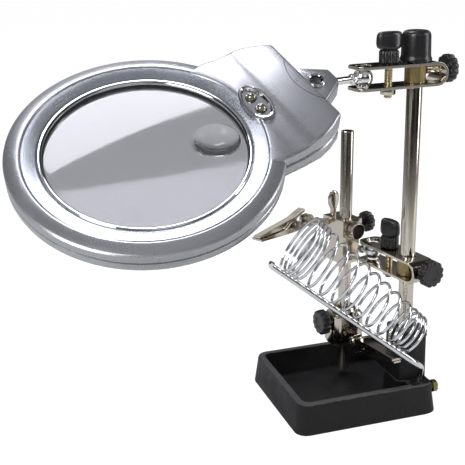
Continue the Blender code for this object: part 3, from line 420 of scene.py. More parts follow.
def softened(mesh, width, segments=3, angle=25.0):
    """Round every edge sharper than an angle."""
    sharp = [edge for edge in mesh.edges if len(edge.link_faces) == 2
             and edge.calc_face_angle(0.0) > radians(angle)]
    bmesh.ops.bevel(mesh, geom=sharp, offset=width, offset_type="OFFSET", segments=segments,
                    affect="EDGES", profile=0.5, material=-1, clamp_overlap=True)
    return mesh


def moved(mesh, place):
    mesh.transform(place)
    return mesh


def joined(*meshes):
    """Several closed shells as one mesh."""
    whole = meshes[0]
    for other in meshes[1:]:
        spare = bpy.data.meshes.new("spare")
        other.to_mesh(spare)
        other.free()
        whole.from_mesh(spare)
        bpy.data.meshes.remove(spare)
    return whole


def outward(mesh):
    bmesh.ops.recalc_face_normals(mesh, faces=mesh.faces[:])
    if mesh.calc_volume(signed=True) < 0.0:
        bmesh.ops.reverse_faces(mesh, faces=mesh.faces[:])
    return mesh


def combined(mesh, tools, operation):
    """Apply closed tools to a closed mesh, one after another."""
    made = []
    for source in (mesh, *tools):
        item = bpy.data.objects.new("shape", bpy.data.meshes.new("shape"))
        outward(source).to_mesh(item.data)
        source.free()
        bpy.context.scene.collection.objects.link(item)
        made.append(item)
    body = made[0]
    for item in made[1:]:
        change = body.modifiers.new("change", "BOOLEAN")
        change.operation = operation
        change.solver = "EXACT"
        change.object = item
    graph = bpy.context.evaluated_depsgraph_get()
    result = bmesh.new()
    result.from_mesh(body.evaluated_get(graph).to_mesh())
    for item in made:
        bpy.data.objects.remove(item)
    return result


def cut(mesh, *tools):
    return combined(mesh, tools, "DIFFERENCE")


def weld(mesh, other):
    return combined(mesh, (other,), "UNION")


# ---------------------------------------------------------------- pieces

def shown(name, mesh, place, look, body, *nodes, smooth=30.0, scale=MM):
    """Finish a piece: set it in its place, give it its finish, and let it ride its body."""
    outward(mesh)
    mesh.transform(place)
    bmesh.ops.scale(mesh, vec=(scale, scale, scale), verts=mesh.verts[:])
    data = bpy.data.meshes.new(name)
    mesh.to_mesh(data)
    mesh.free()
    piece = bpy.data.objects.new(name, data)
    bpy.context.scene.collection.objects.link(piece)
    data.materials.append(FINISH[look])
    data.shade_smooth()
    data.set_sharp_from_angle(angle=radians(smooth))
    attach(piece, body)
    if nodes:
        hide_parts(*nodes)
    return piece


def eased(node, name, look, body, width):
    """A merged copy of a CAD piece with its edges eased by a small radius."""
    mesh = bmesh.new()
    mesh.from_mesh(frame["nodes"][node].data)
    bmesh.ops.remove_doubles(mesh, verts=mesh.verts[:], dist=0.000002)
    bmesh.ops.dissolve_limit(mesh, angle_limit=radians(1.5), verts=mesh.verts[:],
                             edges=mesh.edges[:])
    piece = shown(name, mesh, Matrix.Identity(4), look, body, node, smooth=40.0, scale=1.0)
    easing = piece.modifiers.new("easing", "BEVEL")
    easing.width = width * MM
    easing.segments = 3
    easing.limit_method = "ANGLE"
    easing.angle_limit = radians(28.0)
    easing.harden_normals = True
    return piece


def build_castings():
    eased("base_tray", "tray_casting", "iron", "base", 0.55)
    for node, name, body in (("upper_bracket", "upper_strip", "upper_arm"),
                             ("middle_bracket", "middle_strip", "middle_arm")):
        eased(node, name, "nickel", body, 0.28)
    eased("upper_block", "clip_carrier", "nickel", "clip_block", 0.4)
    eased("lower_clamp_block", "foot_clamp", "nickel", "lower_clamp", 0.4)
    for side, arm in (("upper", "upper_clip"), ("lower", "lower_clip")):
        eased(f"{side}_clip_lower_jaw", f"{side}_fixed_jaw", "nickel", arm, 0.16)
        eased(f"{side}_clip_upper_jaw", f"{side}_moving_jaw", "nickel", f"{arm}_jaw", 0.16)
    eased("upper_clip_screw", "upper_eye_screw", "nickel", "clip_arm", 0.15)
    eased("lower_clip_screw", "lower_eye_screw", "nickel", "lower_clamp", 0.15)
    eased("clip_rod", "clip_stem", "nickel", "clip_arm", 0.2)
    eased("post_set_screw", "tower_screw", "brass", "base", 0.2)
    eased("holder_set_screw", "foot_screw", "brass", "base", 0.2)


def build_posts():
    main = spun([(0.0, 6.5), (3.6, 6.5), (4.0, 6.9), (4.0, 198.4), (3.85, 198.8), (3.5, 199.0),
                 (0.0, 199.0)], 96)
    shown("tall_post", main, Matrix.Translation(POST), "nickel", "base", "main_post")
    short = spun([(0.0, 7.2), (3.1, 7.2), (3.5, 7.6), (3.5, 148.5), (3.4, 148.8), (3.1, 149.0),
                  (0.0, 149.0)], 96)
    shown("clip_post", short, Matrix.Translation(SHORT), "nickel", "short_post", "short_post")
    cap = spun([(0.0, 199.3), (4.3, 199.3), (4.3, 189.6), (4.5, 189.5), (7.9, 189.5), (8.1, 189.8),
                (8.1, 190.5), (7.9, 191.1), (7.6, 191.6), (7.5, 192.6), (7.2, 201.9), (6.9, 203.1),
                (6.2, 204.0), (5.2, 204.45), (4.0, 204.6), (0.0, 204.6)], 96)
    shown("rubber_cap", cap, Matrix.Translation(POST), "black", "base", "post_cap")


def fluted(mesh, radius, flutes, depth, floor):
    """Press shallow flutes into the outer wall of a turned knob."""
    for vert in mesh.verts:
        reach = vert.co.xy.length
        if reach > floor:
            wave = 0.5 + 0.5 * cos(flutes * atan2(vert.co.y, vert.co.x))
            share = (reach - floor) / (radius - floor)
            vert.co.xy *= 1.0 - depth * share * wave ** 2.2 / reach
    return mesh


def knob_mesh(start, radius=7.2, length=5.0, bore=2.3):
    top = start + length
    profile = [(bore, top - 1.4), (bore, start + 0.1), (bore + 0.1, start), (radius - 1.5, start),
               (radius - 0.7, start + 0.15), (radius - 0.2, start + 0.45), (radius, start + 0.95),
               (radius, top - 1.1), (radius - 0.25, top - 0.5), (radius - 0.8, top - 0.12),
               (radius - 1.6, top), (3.2, top - 0.15), (2.9, top - 0.5), (0.0, top - 0.5),
               (0.0, top - 1.4)]
    return fluted(spun(profile, 144, closed=True), radius, 12, 0.95, radius - 2.2)


def screw_mesh(tip, face, knob_start, length=5.0):
    """A clamp screw: its shank, its turned neck and the core inside its knob."""
    return spun([(0.0, tip), (1.6, tip), (2.0, tip + 0.4), (2.0, face + GAP), (3.1, face + GAP),
                 (3.3, face + 0.5), (3.3, knob_start - 0.55), (3.1, knob_start - GAP),
                 (2.0, knob_start - GAP), (2.0, knob_start + length - 1.9),
                 (0.0, knob_start + length - 1.9)], 64)


def build_clamps():
    for side, heading, level in (("upper", UPPER_HEADING, UPPER_LEVEL),
                                 ("middle", MIDDLE_HEADING, MIDDLE_LEVEL)):
        here = place_at(POST + UP * level, heading, UP)
        across = place_at(here @ Vector((0.0, 0.0, SCREW_RISE)), UP, heading)
        shown(f"{side}_grip", knob_mesh(16.8), across, "black", f"{side}_clamp",
              f"{side}_clamp_knob", smooth=35.0)
        shown(f"{side}_grip_screw", screw_mesh(5.7, 15.0, 16.8), across, "nickel",
              f"{side}_clamp", f"{side}_clamp_screw")
        build_wing(side, here @ shift(-WING_REACH, 0.0, 0.0))
        ball = here @ shift(-BALL_REACH, 0.0, 0.0)
        sphere = bmesh.new()
        bmesh.ops.create_uvsphere(sphere, u_segments=48, v_segments=32, radius=BALL_RADIUS)
        shown(f"{side}_joint_ball", sphere, ball, "chrome", f"{side}_ball", f"{side}_ball",
              smooth=60.0)
    foot = place_at(SHORT, CLAMP_HEADING, UP) @ shift(0, 0, 39.5) @ Matrix.Rotation(-pi / 2, 4, "Y")
    shown("foot_grip", knob_mesh(12.0), foot, "black", "lower_knob", "lower_clamp_knob",
          smooth=35.0)
    shown("foot_grip_screw", screw_mesh(5.7, 10.0, 12.0), foot, "nickel", "lower_knob",
          "lower_clamp_screw")


def thread(radius, low, high, pitch=0.8):
    """A screw's shank with its thread as close ridges."""
    profile = [(0.0, low), (radius - 0.3, low)]
    height = low + 0.3
    while height < high - 0.8:
        profile += [(radius - 0.22, height), (radius, height + pitch * 0.4),
                    (radius, height + pitch * 0.6)]
        height += pitch
    return spun(profile + [(radius - 0.2, high), (0.0, high)], 40)


def build_wing(side, here):
    """The oval wing knob on its ribbed stem, its bolt, and the nut under the plates."""
    bore = 2.3
    stem = spun([(bore, 13.4), (bore, 6.5), (4.6, 6.4), (5.0, 6.7), (5.0, 11.9), (4.5, 12.6),
                 (3.4, 13.4)], 96, closed=True)
    for vert in stem.verts:
        reach = vert.co.xy.length
        if reach > 4.0:
            ridge = 0.5 + 0.5 * cos(14.0 * atan2(vert.co.y, vert.co.x))
            vert.co.xy *= 1.0 - 0.5 * ridge ** 2 / reach
    head = lofted([(12.9, 4.2, 3.2), (13.2, 5.1, 3.7), (13.9, 6.4, 4.1), (15.0, 7.0, 3.9),
                   (16.0, 7.2, 3.7), (18.0, 7.2, 3.55), (19.8, 7.0, 3.4), (20.8, 6.5, 3.1),
                   (21.4, 5.7, 2.6), (21.6, 4.4, 1.8)], 72)
    shown(f"{side}_wing", joined(stem, head), here, "black", f"{side}_wing",
          f"{side}_wing_knob", smooth=50.0)
    shown(f"{side}_wing_thread", thread(SCREW_RADIUS, -11.0, 13.0), here, "zinc", f"{side}_wing",
          f"{side}_wing_bolt", smooth=50.0)
    nut = bmesh.new()
    bmesh.ops.create_cone(nut, cap_ends=True, segments=6, radius1=3.9, radius2=3.9, depth=3.0)
    nut = cut(nut, spun([(0.0, -4.0), (bore, -4.0), (bore, 4.0), (0.0, 4.0)], 40))
    softened(nut, 0.25, 2, 40.0)
    shown(f"{side}_nut", nut, here @ shift(0.0, 0.0, -7.8), "nickel", f"{side}_arm",
          f"{side}_bolt_nut")


# ---------------------------------------------------------------- magnifier

def handle_plan(inset=0.0):
    """The handle seen from above: straight sides, a narrowing end, an arc on the lens side."""
    half = [(49.1, 37.0), (60.0, 36.4), (70.0, 35.2), (77.0, 32.6), (84.0, 28.6)]
    plan = [(x - inset * (x > 80.0), -y + inset) for x, y in half]
    plan += [(x - inset * (x > 80.0), y - inset) for x, y in reversed(half)]
    reach = 53.0 + inset
    for step in range(25):
        angle = radians(41.5 - 83.0 * step / 24.0)
        plan.append((reach * cos(angle), reach * sin(angle)))
    return plan


def handle_body(low, inset=0.0, drop=0.0):
    """The handle as a slab whose top follows the slope up towards the tail."""
    mesh = slab(handle_plan(inset), low, low + 1.0)
    for vert in mesh.verts:
        if vert.co.z > low + 0.5:
            vert.co.z = handle_top(vert.co.x) - drop
    return outward(mesh)


def handle_top(reach):
    """Height of the handle's top before it is scooped."""
    return SLOPE_FOOT + (reach - SLOPE_START) * HANDLE_SLOPE


def scooped(mesh):
    """Sink the handle's top beside the lens, so that a shoulder rises over the cells."""
    for step in range(20):
        bmesh.ops.bisect_plane(mesh, geom=mesh.verts[:] + mesh.edges[:] + mesh.faces[:],
                               plane_co=(49.3 + step * 0.9, 0.0, 0.0), plane_no=(1.0, 0.0, 0.0))
    for vert in mesh.verts:
        share = min(max((vert.co.x - 46.0) / 20.0, 0.0), 1.0)
        high = min(max((vert.co.z - SEAM) / (handle_top(vert.co.x) - SEAM), 0.0), 1.0)
        vert.co.z -= SCOOP_DEPTH * sin(pi * share ** 1.5) * high
    return mesh


def build_front():
    """The front cover's flange and bowl, with the sloping handle and its round window."""
    rim = spun([(60.0, SEAM), (61.2, SEAM), (61.5, SEAM + 0.3), (61.5, 0.3), (61.35, 0.8),
                (60.9, 1.15), (60.2, 1.4), (57.0, 2.0), (55.4, 2.2), (54.7, 2.2), (54.3, 2.0),
                (54.0, 1.5), (52.0, 1.2), (46.9, 0.0), (46.9, -0.9), (60.0, -0.9)], 192,
               closed=True)
    body = softened(handle_body(SEAM), 1.5, 4, 30.0)
    window = lofted([(-12.0, 6.35, 12.1), (12.0, 6.35, 12.1)], 72)
    to_bezel = LENS.inverted() @ BEZEL
    hollow = handle_body(SEAM - 0.5, 1.6, 1.9)
    body = scooped(cut(body, hollow, moved(window, to_bezel)))
    shown("front_shell", joined(rim, body), LENS, "silver", "magnifier", "front_cover")
    bezel = spun([(54.0, 1.4), (54.05, 1.75), (53.7, 1.95), (52.6, 1.85), (50.5, 1.4),
                  (48.0, 0.75), (47.1, 0.5), (46.9, 0.3), (46.9, 0.0), (52.0, 1.15)], 192,
                 closed=True)
    seam = []
    for step in range(35):
        side = -17.0 + step
        reach = 78.0 + 7.0 * (side / 20.0) ** 2
        seam.append(LENS @ Vector((reach, side, handle_top(reach) - 0.05)))
    coiled("handle_seam", seam, 0.16, "rubber", "magnifier", rings=2)
    shown("spun_ring", bezel, LENS, "spun", "magnifier")
    lip = spun([(46.9, -0.8), (46.9, 0.55), (46.7, 0.72), (46.2, 0.78), (45.5, 0.66), (45.05, 0.3),
                (45.0, -0.1), (45.1, -0.9)], 192, closed=True)
    shown("lens_lip", lip, LENS, "chrome", "magnifier")


def build_back():
    top = SEAM - GAP
    rim = spun([(61.2, top), (61.5, top - 0.3), (61.5, -6.6), (61.3, -7.3), (60.8, -7.9),
                (60.0, -8.2), (57.0, -8.0), (45.9, -7.0), (45.2, -6.8), (45.0, -6.4),
                (45.0, -4.9), (45.2, -4.8), (50.0, -4.8), (60.0, -6.4), (60.0, top)], 192,
               closed=True)
    places = [shift(CASE_SCREW_CIRCLE * cos(radians(turn)), CASE_SCREW_CIRCLE * sin(radians(turn)),
                    0.0) for turn in CASE_SCREW_ANGLES]
    for place in places:
        rim = cut(rim, moved(spun([(0.0, -12.0), (2.5, -12.0), (2.5, -7.9), (1.4, -7.6),
                                   (1.4, -2.0), (0.0, -2.0)], 32), place))
    body = softened(slab(handle_plan(), -9.2, top), 1.2, 3, 30.0)
    hollow = slab(handle_plan(1.6), -7.7, top + 0.5)
    door = slab([(60.3, -24.3), (81.7, -24.3), (81.7, 24.3), (60.3, 24.3)], -11.0, -6.0)
    body = cut(body, hollow, door)
    shown("back_shell", joined(rim, body), LENS, "silver", "magnifier", "back_cover")
    lid = slab([(60.6, -24.0), (81.4, -24.0), (81.4, 24.0), (60.6, 24.0)], -9.2, -7.9)
    softened(lid, 0.35)
    grip = [moved(lofted([(-9.9, 0.6, 7.0), (-9.6, 0.9, 7.4), (-9.0, 1.0, 7.6)], 32),
                  shift(64.0 + 2.6 * step, 0.0, 0.0)) for step in range(4)]
    lid = joined(lid, *[outward(rib) for rib in grip])
    for vert in lid.verts:
        vert.co.z = max(vert.co.z, -9.55)
    shown("cell_lid", lid, LENS, "silver", "battery_door", "battery_cover")
    for index, place in enumerate(places):
        screw = spun([(0.0, -9.2), (1.2, -9.2), (1.9, -8.95), (2.3, -8.5), (2.3, -8.1),
                      (1.05, -8.1), (1.05, -1.8), (0.0, -1.8)], 40)
        cross = [moved(slab([(-1.3, -0.22), (1.3, -0.22), (1.3, 0.22), (-1.3, 0.22)],
                            -10.0, -8.6), Matrix.Rotation(turn, 4, "Z")) for turn in (0.3, 1.87)]
        shown(f"shell_screw_{index + 1}", cut(screw, *cross), LENS @ place, "zinc", "magnifier",
              f"case_screw_{index + 1}")


def build_glass():
    """The main lens, its stronger inset, and the black ring that seats it."""
    face = [(0.0, -6.0)]
    for step in range(1, 13):
        reach = 47.3 * step / 12.0
        face.append((reach, -6.0 + 1.6 * (reach / 47.3) ** 2))
    for step in range(12, -1, -1):
        reach = 47.3 * step / 12.0
        face.append((reach, -0.4 - 1.6 * (reach / 47.3) ** 2))
    glass = spun(face, 160)
    bulge = spun([(0.0, -8.4), (2.0, -8.33), (4.0, -8.1), (6.0, -7.7), (8.0, -7.0), (9.6, -6.2),
                  (10.7, -5.5), (11.0, -5.2), (11.0, -3.2), (0.0, -3.2)], 96)
    shown("magnifier_lens", weld(glass, moved(bulge, shift(*INSET_LENS, 0.0))), LENS, "lens",
          "magnifier", "main_lens", smooth=35.0)
    seat = spun([(44.5, -1.7), (44.7, -1.2), (45.0, -1.15), (47.2, -1.15), (47.4, -1.3),
                 (47.4, -1.75)], 160, closed=True)
    shown("lens_seal", seat, LENS, "rubber", "magnifier", "lens_gasket")


def build_light():
    """The oval bezel of the light with its two lamps, and the cells behind them."""
    dish = lofted([(-2.2, 6.25, 12.0), (0.35, 6.25, 12.0), (0.7, 6.15, 11.9), (0.9, 5.8, 11.5),
                   (0.85, 5.4, 11.0), (0.5, 5.0, 10.6), (-0.4, 4.7, 10.2), (-0.9, 4.4, 9.9)], 96)
    shaft = [moved(spun([(0.0, -5.0), (2.8, -5.0), (2.8, 9.0), (0.0, 9.0)], 48),
                   BEZEL.inverted() @ LENS @ shift(LIGHT_ALONG, LIGHT_SIDE + side * LAMP_SPACING, 0.0))
             for side in (-0.5, 0.5)]
    shown("light_bezel", cut(dish, *shaft), BEZEL, "chrome", "magnifier", "led_bezel")
    for index, side in enumerate((-0.5, 0.5)):
        lamp = spun([(0.0, -0.2), (2.7, -0.2), (2.7, 0.5), (2.4, 0.7), (2.4, 3.2), (2.3, 3.8),
                     (2.0, 4.4), (1.5, 4.85), (0.8, 5.2), (0.0, 5.3)], 48)
        place = LENS @ shift(LIGHT_ALONG, LIGHT_SIDE + side * LAMP_SPACING, 0.0)
        shown(f"lamp_{index + 1}", lamp, place, "led",
              "magnifier", f"led_{index + 1}", smooth=45.0)
    for index, reach in enumerate((66.6, 77.2)):
        cell = spun([(0.0, -22.0), (4.6, -22.0), (5.0, -21.6), (5.0, 20.3), (4.6, 20.8),
                     (1.9, 20.8), (1.9, 22.0), (0.0, 22.0)], 64)
        turn = Matrix.Rotation(pi / 2.0 if index == 0 else -pi / 2.0, 4, "X")
        shown(f"dry_cell_{index + 1}", cell, LENS @ shift(reach, 0.0, -2.2) @ turn, "cell",
              "magnifier", f"cell_{index + 1}")


def build_tail():
    plan = [(84.6, -15.0), (101.0, -4.6), (101.0, 4.6), (84.6, 15.0)]
    tail = softened(slab(plan, -8.0, 1.8), 0.9, 3, 20.0)
    spot = shift(SWITCH_ALONG, 0.0, 0.0)
    well = moved(spun([(0.0, -5.6), (4.2, -5.6), (4.2, 6.0), (0.0, 6.0)], 64), spot)
    turn = LENS.inverted() @ HEAD @ Matrix.Rotation(pi + radians(STUD_TILT), 4, "Y")
    socket_hole = moved(spun([(0.0, 15.0), (2.15, 15.0), (2.15, 24.6), (0.0, 24.6)], 48),
                        turn @ Matrix.Rotation(pi / 2.0, 4, "Y"))
    shown("tail_casting", cut(tail, well, socket_hole), LENS, "silver", "magnifier", "tail_block")
    ring = spun([(3.0, -5.2), (3.9, -5.2), (3.9, 1.9), (4.5, 2.05), (4.65, 2.3), (4.5, 2.7),
                 (4.2, 2.95), (3.5, 2.95), (3.1, 2.7), (3.0, 2.3)], 72, closed=True)
    shown("switch_collar", ring, LENS @ spot, "chrome", "magnifier", "switch_ring")
    button = spun([(0.0, -3.0), (2.6, -3.0), (2.7, -2.9), (2.7, 1.7), (2.6, 2.05), (2.2, 2.35),
                   (1.2, 2.3), (0.0, 2.2)], 64)
    shown("push_button", button, LENS @ spot, "black", "switch_button", "light_switch")
    leaves = HEAD.to_3x3() @ Vector((-cos(radians(STUD_TILT)), 0.0, sin(radians(STUD_TILT))))
    shown("head_stud", stud_mesh(UPPER_STUD_END), along(UPPER_BALL, leaves), "chrome", "upper_stud",
          "upper_stud")


def stud_mesh(end):
    """A ball stud: a short necked collar, then its shank along X."""
    mesh = spun([(0.0, 5.25), (2.1, 5.25), (2.35, 5.5), (2.7, 7.3), (2.6, 7.6), (1.85, 8.0),
                 (1.8, 8.3), (1.8, end - 0.3), (1.5, end), (0.0, end)], 56)
    return moved(mesh, Matrix.Rotation(pi / 2.0, 4, "Y"))


# ---------------------------------------------------------------- block, clips and holder

def build_block_screws():
    """The knob, the knurled screw and the flat thumb screw on the block, and its ball stud."""
    block = place_at(MIDDLE_BALL, BLOCK_HEADING, UP)
    centre = block.inverted() @ Vector(BLOCK_CENTRE)
    inside = shift(*centre)
    post = (inside.inverted() @ block.inverted()) @ SHORT
    side = block @ inside @ shift(post.x, post.y, 95.0) @ Matrix.Rotation(pi / 2.0, 4, "Y")
    start = BLOCK_HALF_WIDTH - post.x + 6.6
    knob = fluted(spun([(0.0, start), (4.2, start), (5.0, start + 0.15), (5.6, start + 0.4),
                        (5.9, start + 0.9), (5.9, start + 3.7), (5.6, start + 4.2),
                        (4.9, start + 4.5), (4.2, start + 4.6), (0.0, start + 4.6)], 144),
                  5.9, 12, 0.8, 4.1)
    stem = spun([(0.0, 3.8), (1.8, 3.8), (2.0, 4.0), (2.0, start + 0.5), (0.0, start + 0.5)], 48)
    shown("side_grip", joined(knob, stem), side, "black", "block_knob", "block_knob",
          smooth=35.0)
    near = BLOCK_HALF_DEPTH + post.y
    front = block @ inside @ shift(post.x, post.y, 94.4) @ Matrix.Rotation(pi / 2.0, 4, "X")
    head = spun([(0.0, 3.8), (1.9, 3.8), (1.9, near + GAP), (4.2, near + GAP), (4.6, near + 0.6),
                 (4.8, near + 0.9), (4.8, near + 4.3), (4.6, near + 4.6), (4.1, near + 4.9),
                 (0.0, near + 4.9)], 160)
    for vert in head.verts:
        reach = vert.co.xy.length
        if reach > 4.5:
            tooth = 0.5 + 0.5 * cos(40.0 * atan2(vert.co.y, vert.co.x))
            vert.co.xy *= 1.0 - 0.22 * tooth / reach
    shown("knurled_head", head, front, "nickel", "knurled_screw", "knurled_screw", smooth=25.0)
    wing = lofted([(98.4, 1.7, 1.7), (103.2, 1.7, 1.7), (104.2, 2.2, 1.55), (105.8, 3.2, 1.3),
                   (107.6, 3.8, 1.2), (109.4, 3.9, 1.2), (111.2, 3.6, 1.15), (112.7, 2.8, 1.05),
                   (113.6, 1.9, 0.9), (114.0, 1.0, 0.6)], 56)
    shown("thumb_wing", wing, block @ inside @ shift(-2.1, 5.6, 0.0), "nickel", "thumb_screw",
          "thumb_screw", smooth=50.0)
    leaves = BLOCK_HEADING * -0.496 + Vector((-BLOCK_HEADING.y, BLOCK_HEADING.x, 0.0)) * 0.868
    shown("carrier_stud", stud_mesh(MIDDLE_STUD_END), along(MIDDLE_BALL, leaves), "chrome",
          "middle_stud",
          "middle_stud")


def coiled(name, points, radius, look, body, *nodes, rings=3):
    """A round wire through points, made a mesh with its ends closed."""
    curve = bpy.data.curves.new(name, "CURVE")
    curve.dimensions = "3D"
    curve.bevel_depth = radius * MM
    curve.bevel_resolution = rings
    curve.use_fill_caps = True
    spline = curve.splines.new("POLY")
    spline.points.add(len(points) - 1)
    for spot, point in zip(spline.points, points):
        spot.co = (*(Vector(point) * MM), 1.0)
    draft = bpy.data.objects.new("draft", curve)
    bpy.context.scene.collection.objects.link(draft)
    graph = bpy.context.evaluated_depsgraph_get()
    mesh = bmesh.new()
    mesh.from_mesh(draft.evaluated_get(graph).to_mesh())
    bpy.data.objects.remove(draft)
    bmesh.ops.remove_doubles(mesh, verts=mesh.verts[:], dist=0.0000005)
    return shown(name, mesh, Matrix.Identity(4), look, body, *nodes, smooth=50.0, scale=1.0)


def coil_travel(turn):
    """How far down the rod a turn lies: close at both ends, open between them."""
    if turn < 4.0:
        return 2.5 * turn
    if turn < 12.0:
        return 10.0 + 7.5 * (turn - 4.0)
    return 70.0 + 3.15 * (turn - 12.0)


def build_holder():
    level = Vector((-ROD_ALONG.y, ROD_ALONG.x, 0.0)).normalized() * -1.0
    rise = ROD_ALONG.cross(level).normalized()
    rise = rise if rise.z > 0.0 else -rise
    knee = FOOT + UP * 19.2
    lift = FOOT + Vector((0.0, -1.0, 27.2))
    lead = ROD_START - ROD_ALONG * 12.0
    points = [FOOT + UP * 7.0]
    for step in range(37):
        t = step / 36.0
        points.append(knee * (1 - t) ** 3 + lift * 3 * t * (1 - t) ** 2
                      + lead * 3 * t * t * (1 - t) + ROD_START * t ** 3)
    top = ROD_START + ROD_ALONG * ROD_LENGTH
    points += [ROD_START + ROD_ALONG * ROD_LENGTH * 0.5, top]
    points += [top + ROD_ALONG * 0.8 + rise * 0.15, top + ROD_ALONG * 1.3 + rise * 0.5,
               top + ROD_ALONG * 1.6 + rise * 1.1, top + ROD_ALONG * 1.7 + rise * 1.9]
    coiled("holder_bar", points, ROD_RADIUS, "chrome", "iron_holder", "holder_rod", rings=10)
    coil = []
    for step in range(COIL_TURNS * COIL_STEPS + 1):
        turn = step / COIL_STEPS
        travel = coil_travel(turn)
        radius = COIL_WIDE + (COIL_NARROW - COIL_WIDE) * travel / coil_travel(COIL_TURNS)
        centre = top - ROD_ALONG * (3.0 + travel) + rise * (COIL_STAND + radius)
        coil.append(centre + (level * sin(2 * pi * turn) - rise * cos(2 * pi * turn)) * radius)
    coiled("rest_coil", coil, COIL_WIRE, "chrome", "iron_holder", "iron_coil", rings=4)


def build_clip_springs():
    """The torsion spring round each clip's pin, and the pins themselves."""
    for side, body in (("upper", "upper_clip"), ("lower", "lower_clip")):
        low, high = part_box(f"{side}_clip_jaw_pin")
        middle = (low + high) / 2.0 / MM
        node = frame["nodes"][f"{side}_clip_jaw_pin"].data
        reach = max((vert.co / MM - middle for vert in node.vertices), key=lambda v: v.length)
        pin_axis = Vector((reach.x, reach.y, 0.0)).normalized()
        place = place_at(middle, UP, pin_axis)
        pin = spun([(0.0, -3.4), (0.55, -3.4), (0.75, -3.2), (0.75, 3.2), (0.55, 3.4),
                    (0.0, 3.4)], 40)
        shown(f"{side}_hinge_pin", pin, place, "nickel", body, f"{side}_clip_jaw_pin")
        loops = []
        for step in range(121):
            angle = 2.0 * pi * step / 32.0
            loops.append(place @ Vector((1.38 * cos(angle), 1.38 * sin(angle),
                                         -0.7 + 1.4 * step / 120.0)))
        coiled(f"{side}_torsion_spring", loops, 0.2, "nickel", body, f"{side}_clip_spring")


def finish_frame_nodes():
    """Give every CAD piece, shown or covered, the finish of its slot."""
    slots = {row["node"]: row["material_slot"] for row in frame["record"]["subparts"]}
    looks = {slot: look for look, slot in SLOTS.items() if look != "spun"}
    for name, node in frame["nodes"].items():
        node.data.materials.clear()
        node.data.materials.append(FINISH[looks[slots[name]]])


# ---------------------------------------------------------------- stage

def make_bench_finish():
    """A white bench that shows nearly shadowless, as under a light tent."""
    material = bpy.data.materials.new("pale_bench")
    material.use_nodes = True
    nodes, links = material.node_tree.nodes, material.node_tree.links
    shader = nodes["Principled BSDF"]
    shader.inputs["Base Color"].default_value = (0.90, 0.90, 0.90, 1.0)
    shader.inputs["Roughness"].default_value = 0.9
    glow = nodes.new("ShaderNodeEmission")
    glow.inputs["Strength"].default_value = 1.3
    ray = nodes.new("ShaderNodeLightPath")
    amount = nodes.new("ShaderNodeMath")
    amount.operation = "MULTIPLY"
    amount.inputs[1].default_value = 0.72
    links.new(ray.outputs["Is Camera Ray"], amount.inputs[0])
    mix = nodes.new("ShaderNodeMixShader")
    links.new(amount.outputs[0], mix.inputs["Fac"])
    links.new(shader.outputs["BSDF"], mix.inputs[1])
    links.new(glow.outputs["Emission"], mix.inputs[2])
    links.new(mix.outputs["Shader"], nodes["Material Output"].inputs["Surface"])
    return material


def build_stage():
    """A pale level floor that runs to the horizon."""
    mesh = bmesh.new()
    bmesh.ops.create_grid(mesh, x_segments=1, y_segments=1, size=60.0)
    data = bpy.data.meshes.new("bench")
    mesh.to_mesh(data)
    mesh.free()
    floor = bpy.data.objects.new("bench", data)
    floor.location.z = -0.0002
    bpy.context.scene.collection.objects.link(floor)
    data.materials.append(make_bench_finish())


def lamp(name, place, aim, size, power, colour=(1.0, 1.0, 1.0)):
    data = bpy.data.lights.new(name, "AREA")
    data.shape = "RECTANGLE"
    data.size, data.size_y = size
    data.energy = power
    data.color = colour
    light = bpy.data.objects.new(name, data)
    light.location = place
    light.rotation_euler = (Vector(aim) - Vector(place)).to_track_quat("-Z", "Y").to_euler()
    bpy.context.scene.collection.objects.link(light)


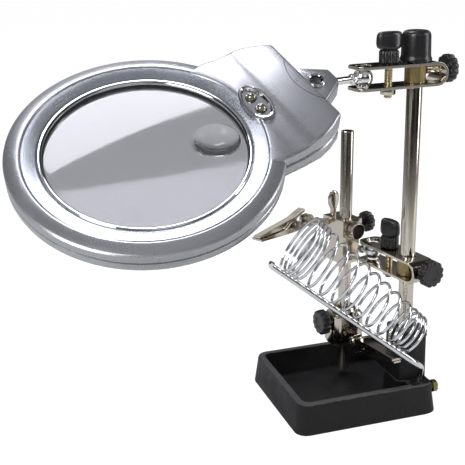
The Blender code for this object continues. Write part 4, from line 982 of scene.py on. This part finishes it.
def build_light_setup():
    """Soft studio light: a key box from the left, a strip on the right, and one overhead."""
    lamp("key_box", (-0.75, -0.55, 0.75), (0.0, 0.0, 0.1), (0.5, 0.7), 6.5)
    lamp("side_strip", (0.75, -0.35, 0.45), (0.0, 0.0, 0.1), (0.22, 0.8), 3.0)
    lamp("over_box", (-0.1, 0.35, 1.0), (0.0, 0.0, 0.05), (0.45, 0.22), 3.2, (0.93, 0.93, 1.0))
    world = bpy.data.worlds.new("studio")
    bpy.context.scene.world = world
    world.use_nodes = True
    nodes, links = world.node_tree.nodes, world.node_tree.links
    where = nodes.new("ShaderNodeTexCoord")
    split = nodes.new("ShaderNodeSeparateXYZ")
    links.new(where.outputs["Generated"], split.inputs[0])
    walls = nodes.new("ShaderNodeValToRGB")
    walls.color_ramp.interpolation = "EASE"
    stops = walls.color_ramp.elements
    stops[0].position, stops[0].color = 0.0, (0.75, 0.76, 0.78, 1.0)
    stops[1].position, stops[1].color = 1.0, (1.0, 1.0, 1.0, 1.0)
    for position, level in ((0.22, 0.10), (0.34, 0.16), (0.46, 0.92), (0.58, 0.9), (0.70, 0.12),
                            (0.82, 0.18)):
        stop = stops.new(position)
        stop.color = (level, level, level * 1.02, 1.0)
    shift_up = nodes.new("ShaderNodeMapRange")
    shift_up.inputs["From Min"].default_value = -1.0
    links.new(split.outputs["X"], shift_up.inputs["Value"])
    links.new(shift_up.outputs["Result"], walls.inputs["Fac"])
    tiers = nodes.new("ShaderNodeValToRGB")
    tiers.color_ramp.interpolation = "EASE"
    steps = tiers.color_ramp.elements
    steps[0].position, steps[0].color = 0.0, (1.0, 1.0, 1.0, 1.0)
    steps[1].position, steps[1].color = 1.0, (0.55, 0.56, 0.60, 1.0)
    for position, level in ((0.44, 1.0), (0.50, 0.12), (0.60, 0.08), (0.66, 1.5), (0.80, 1.4),
                            (0.86, 0.22)):
        step = steps.new(position)
        step.color = (level, level, level, 1.0)
    heights = nodes.new("ShaderNodeMapRange")
    heights.inputs["From Min"].default_value = -1.0
    links.new(split.outputs["Z"], heights.inputs["Value"])
    links.new(heights.outputs["Result"], tiers.inputs["Fac"])
    room = nodes.new("ShaderNodeMix")
    room.data_type = "RGBA"
    room.blend_type = "MULTIPLY"
    room.inputs["Factor"].default_value = 1.0
    links.new(walls.outputs["Color"], room.inputs["A"])
    links.new(tiers.outputs["Color"], room.inputs["B"])
    backdrop = nodes["Background"]
    links.new(room.outputs["Result"], backdrop.inputs["Color"])
    backdrop.inputs["Strength"].default_value = 0.62
    bpy.context.scene.view_settings.view_transform = "Standard"


def build_camera():
    data = bpy.data.cameras.new("camera")
    data.sensor_width = CAMERA_SENSOR
    data.lens = CAMERA_LENS
    camera = bpy.data.objects.new("camera", data)
    camera.location = CAMERA_PLACE
    turn = (Matrix.Rotation(-CAMERA_YAW, 4, "Z") @ Matrix.Rotation(pi / 2.0 - CAMERA_PITCH, 4, "X")
            @ Matrix.Rotation(-CAMERA_ROLL, 4, "Z"))
    camera.rotation_euler = turn.to_euler()
    bpy.context.scene.collection.objects.link(camera)
    bpy.context.scene.camera = camera


build_camera()
build_stage()
build_light_setup()
finish_frame_nodes()
build_castings()
build_posts()
build_clamps()
build_front()
build_back()
build_glass()
build_light()
build_tail()
build_block_screws()
build_clip_springs()
build_holder()
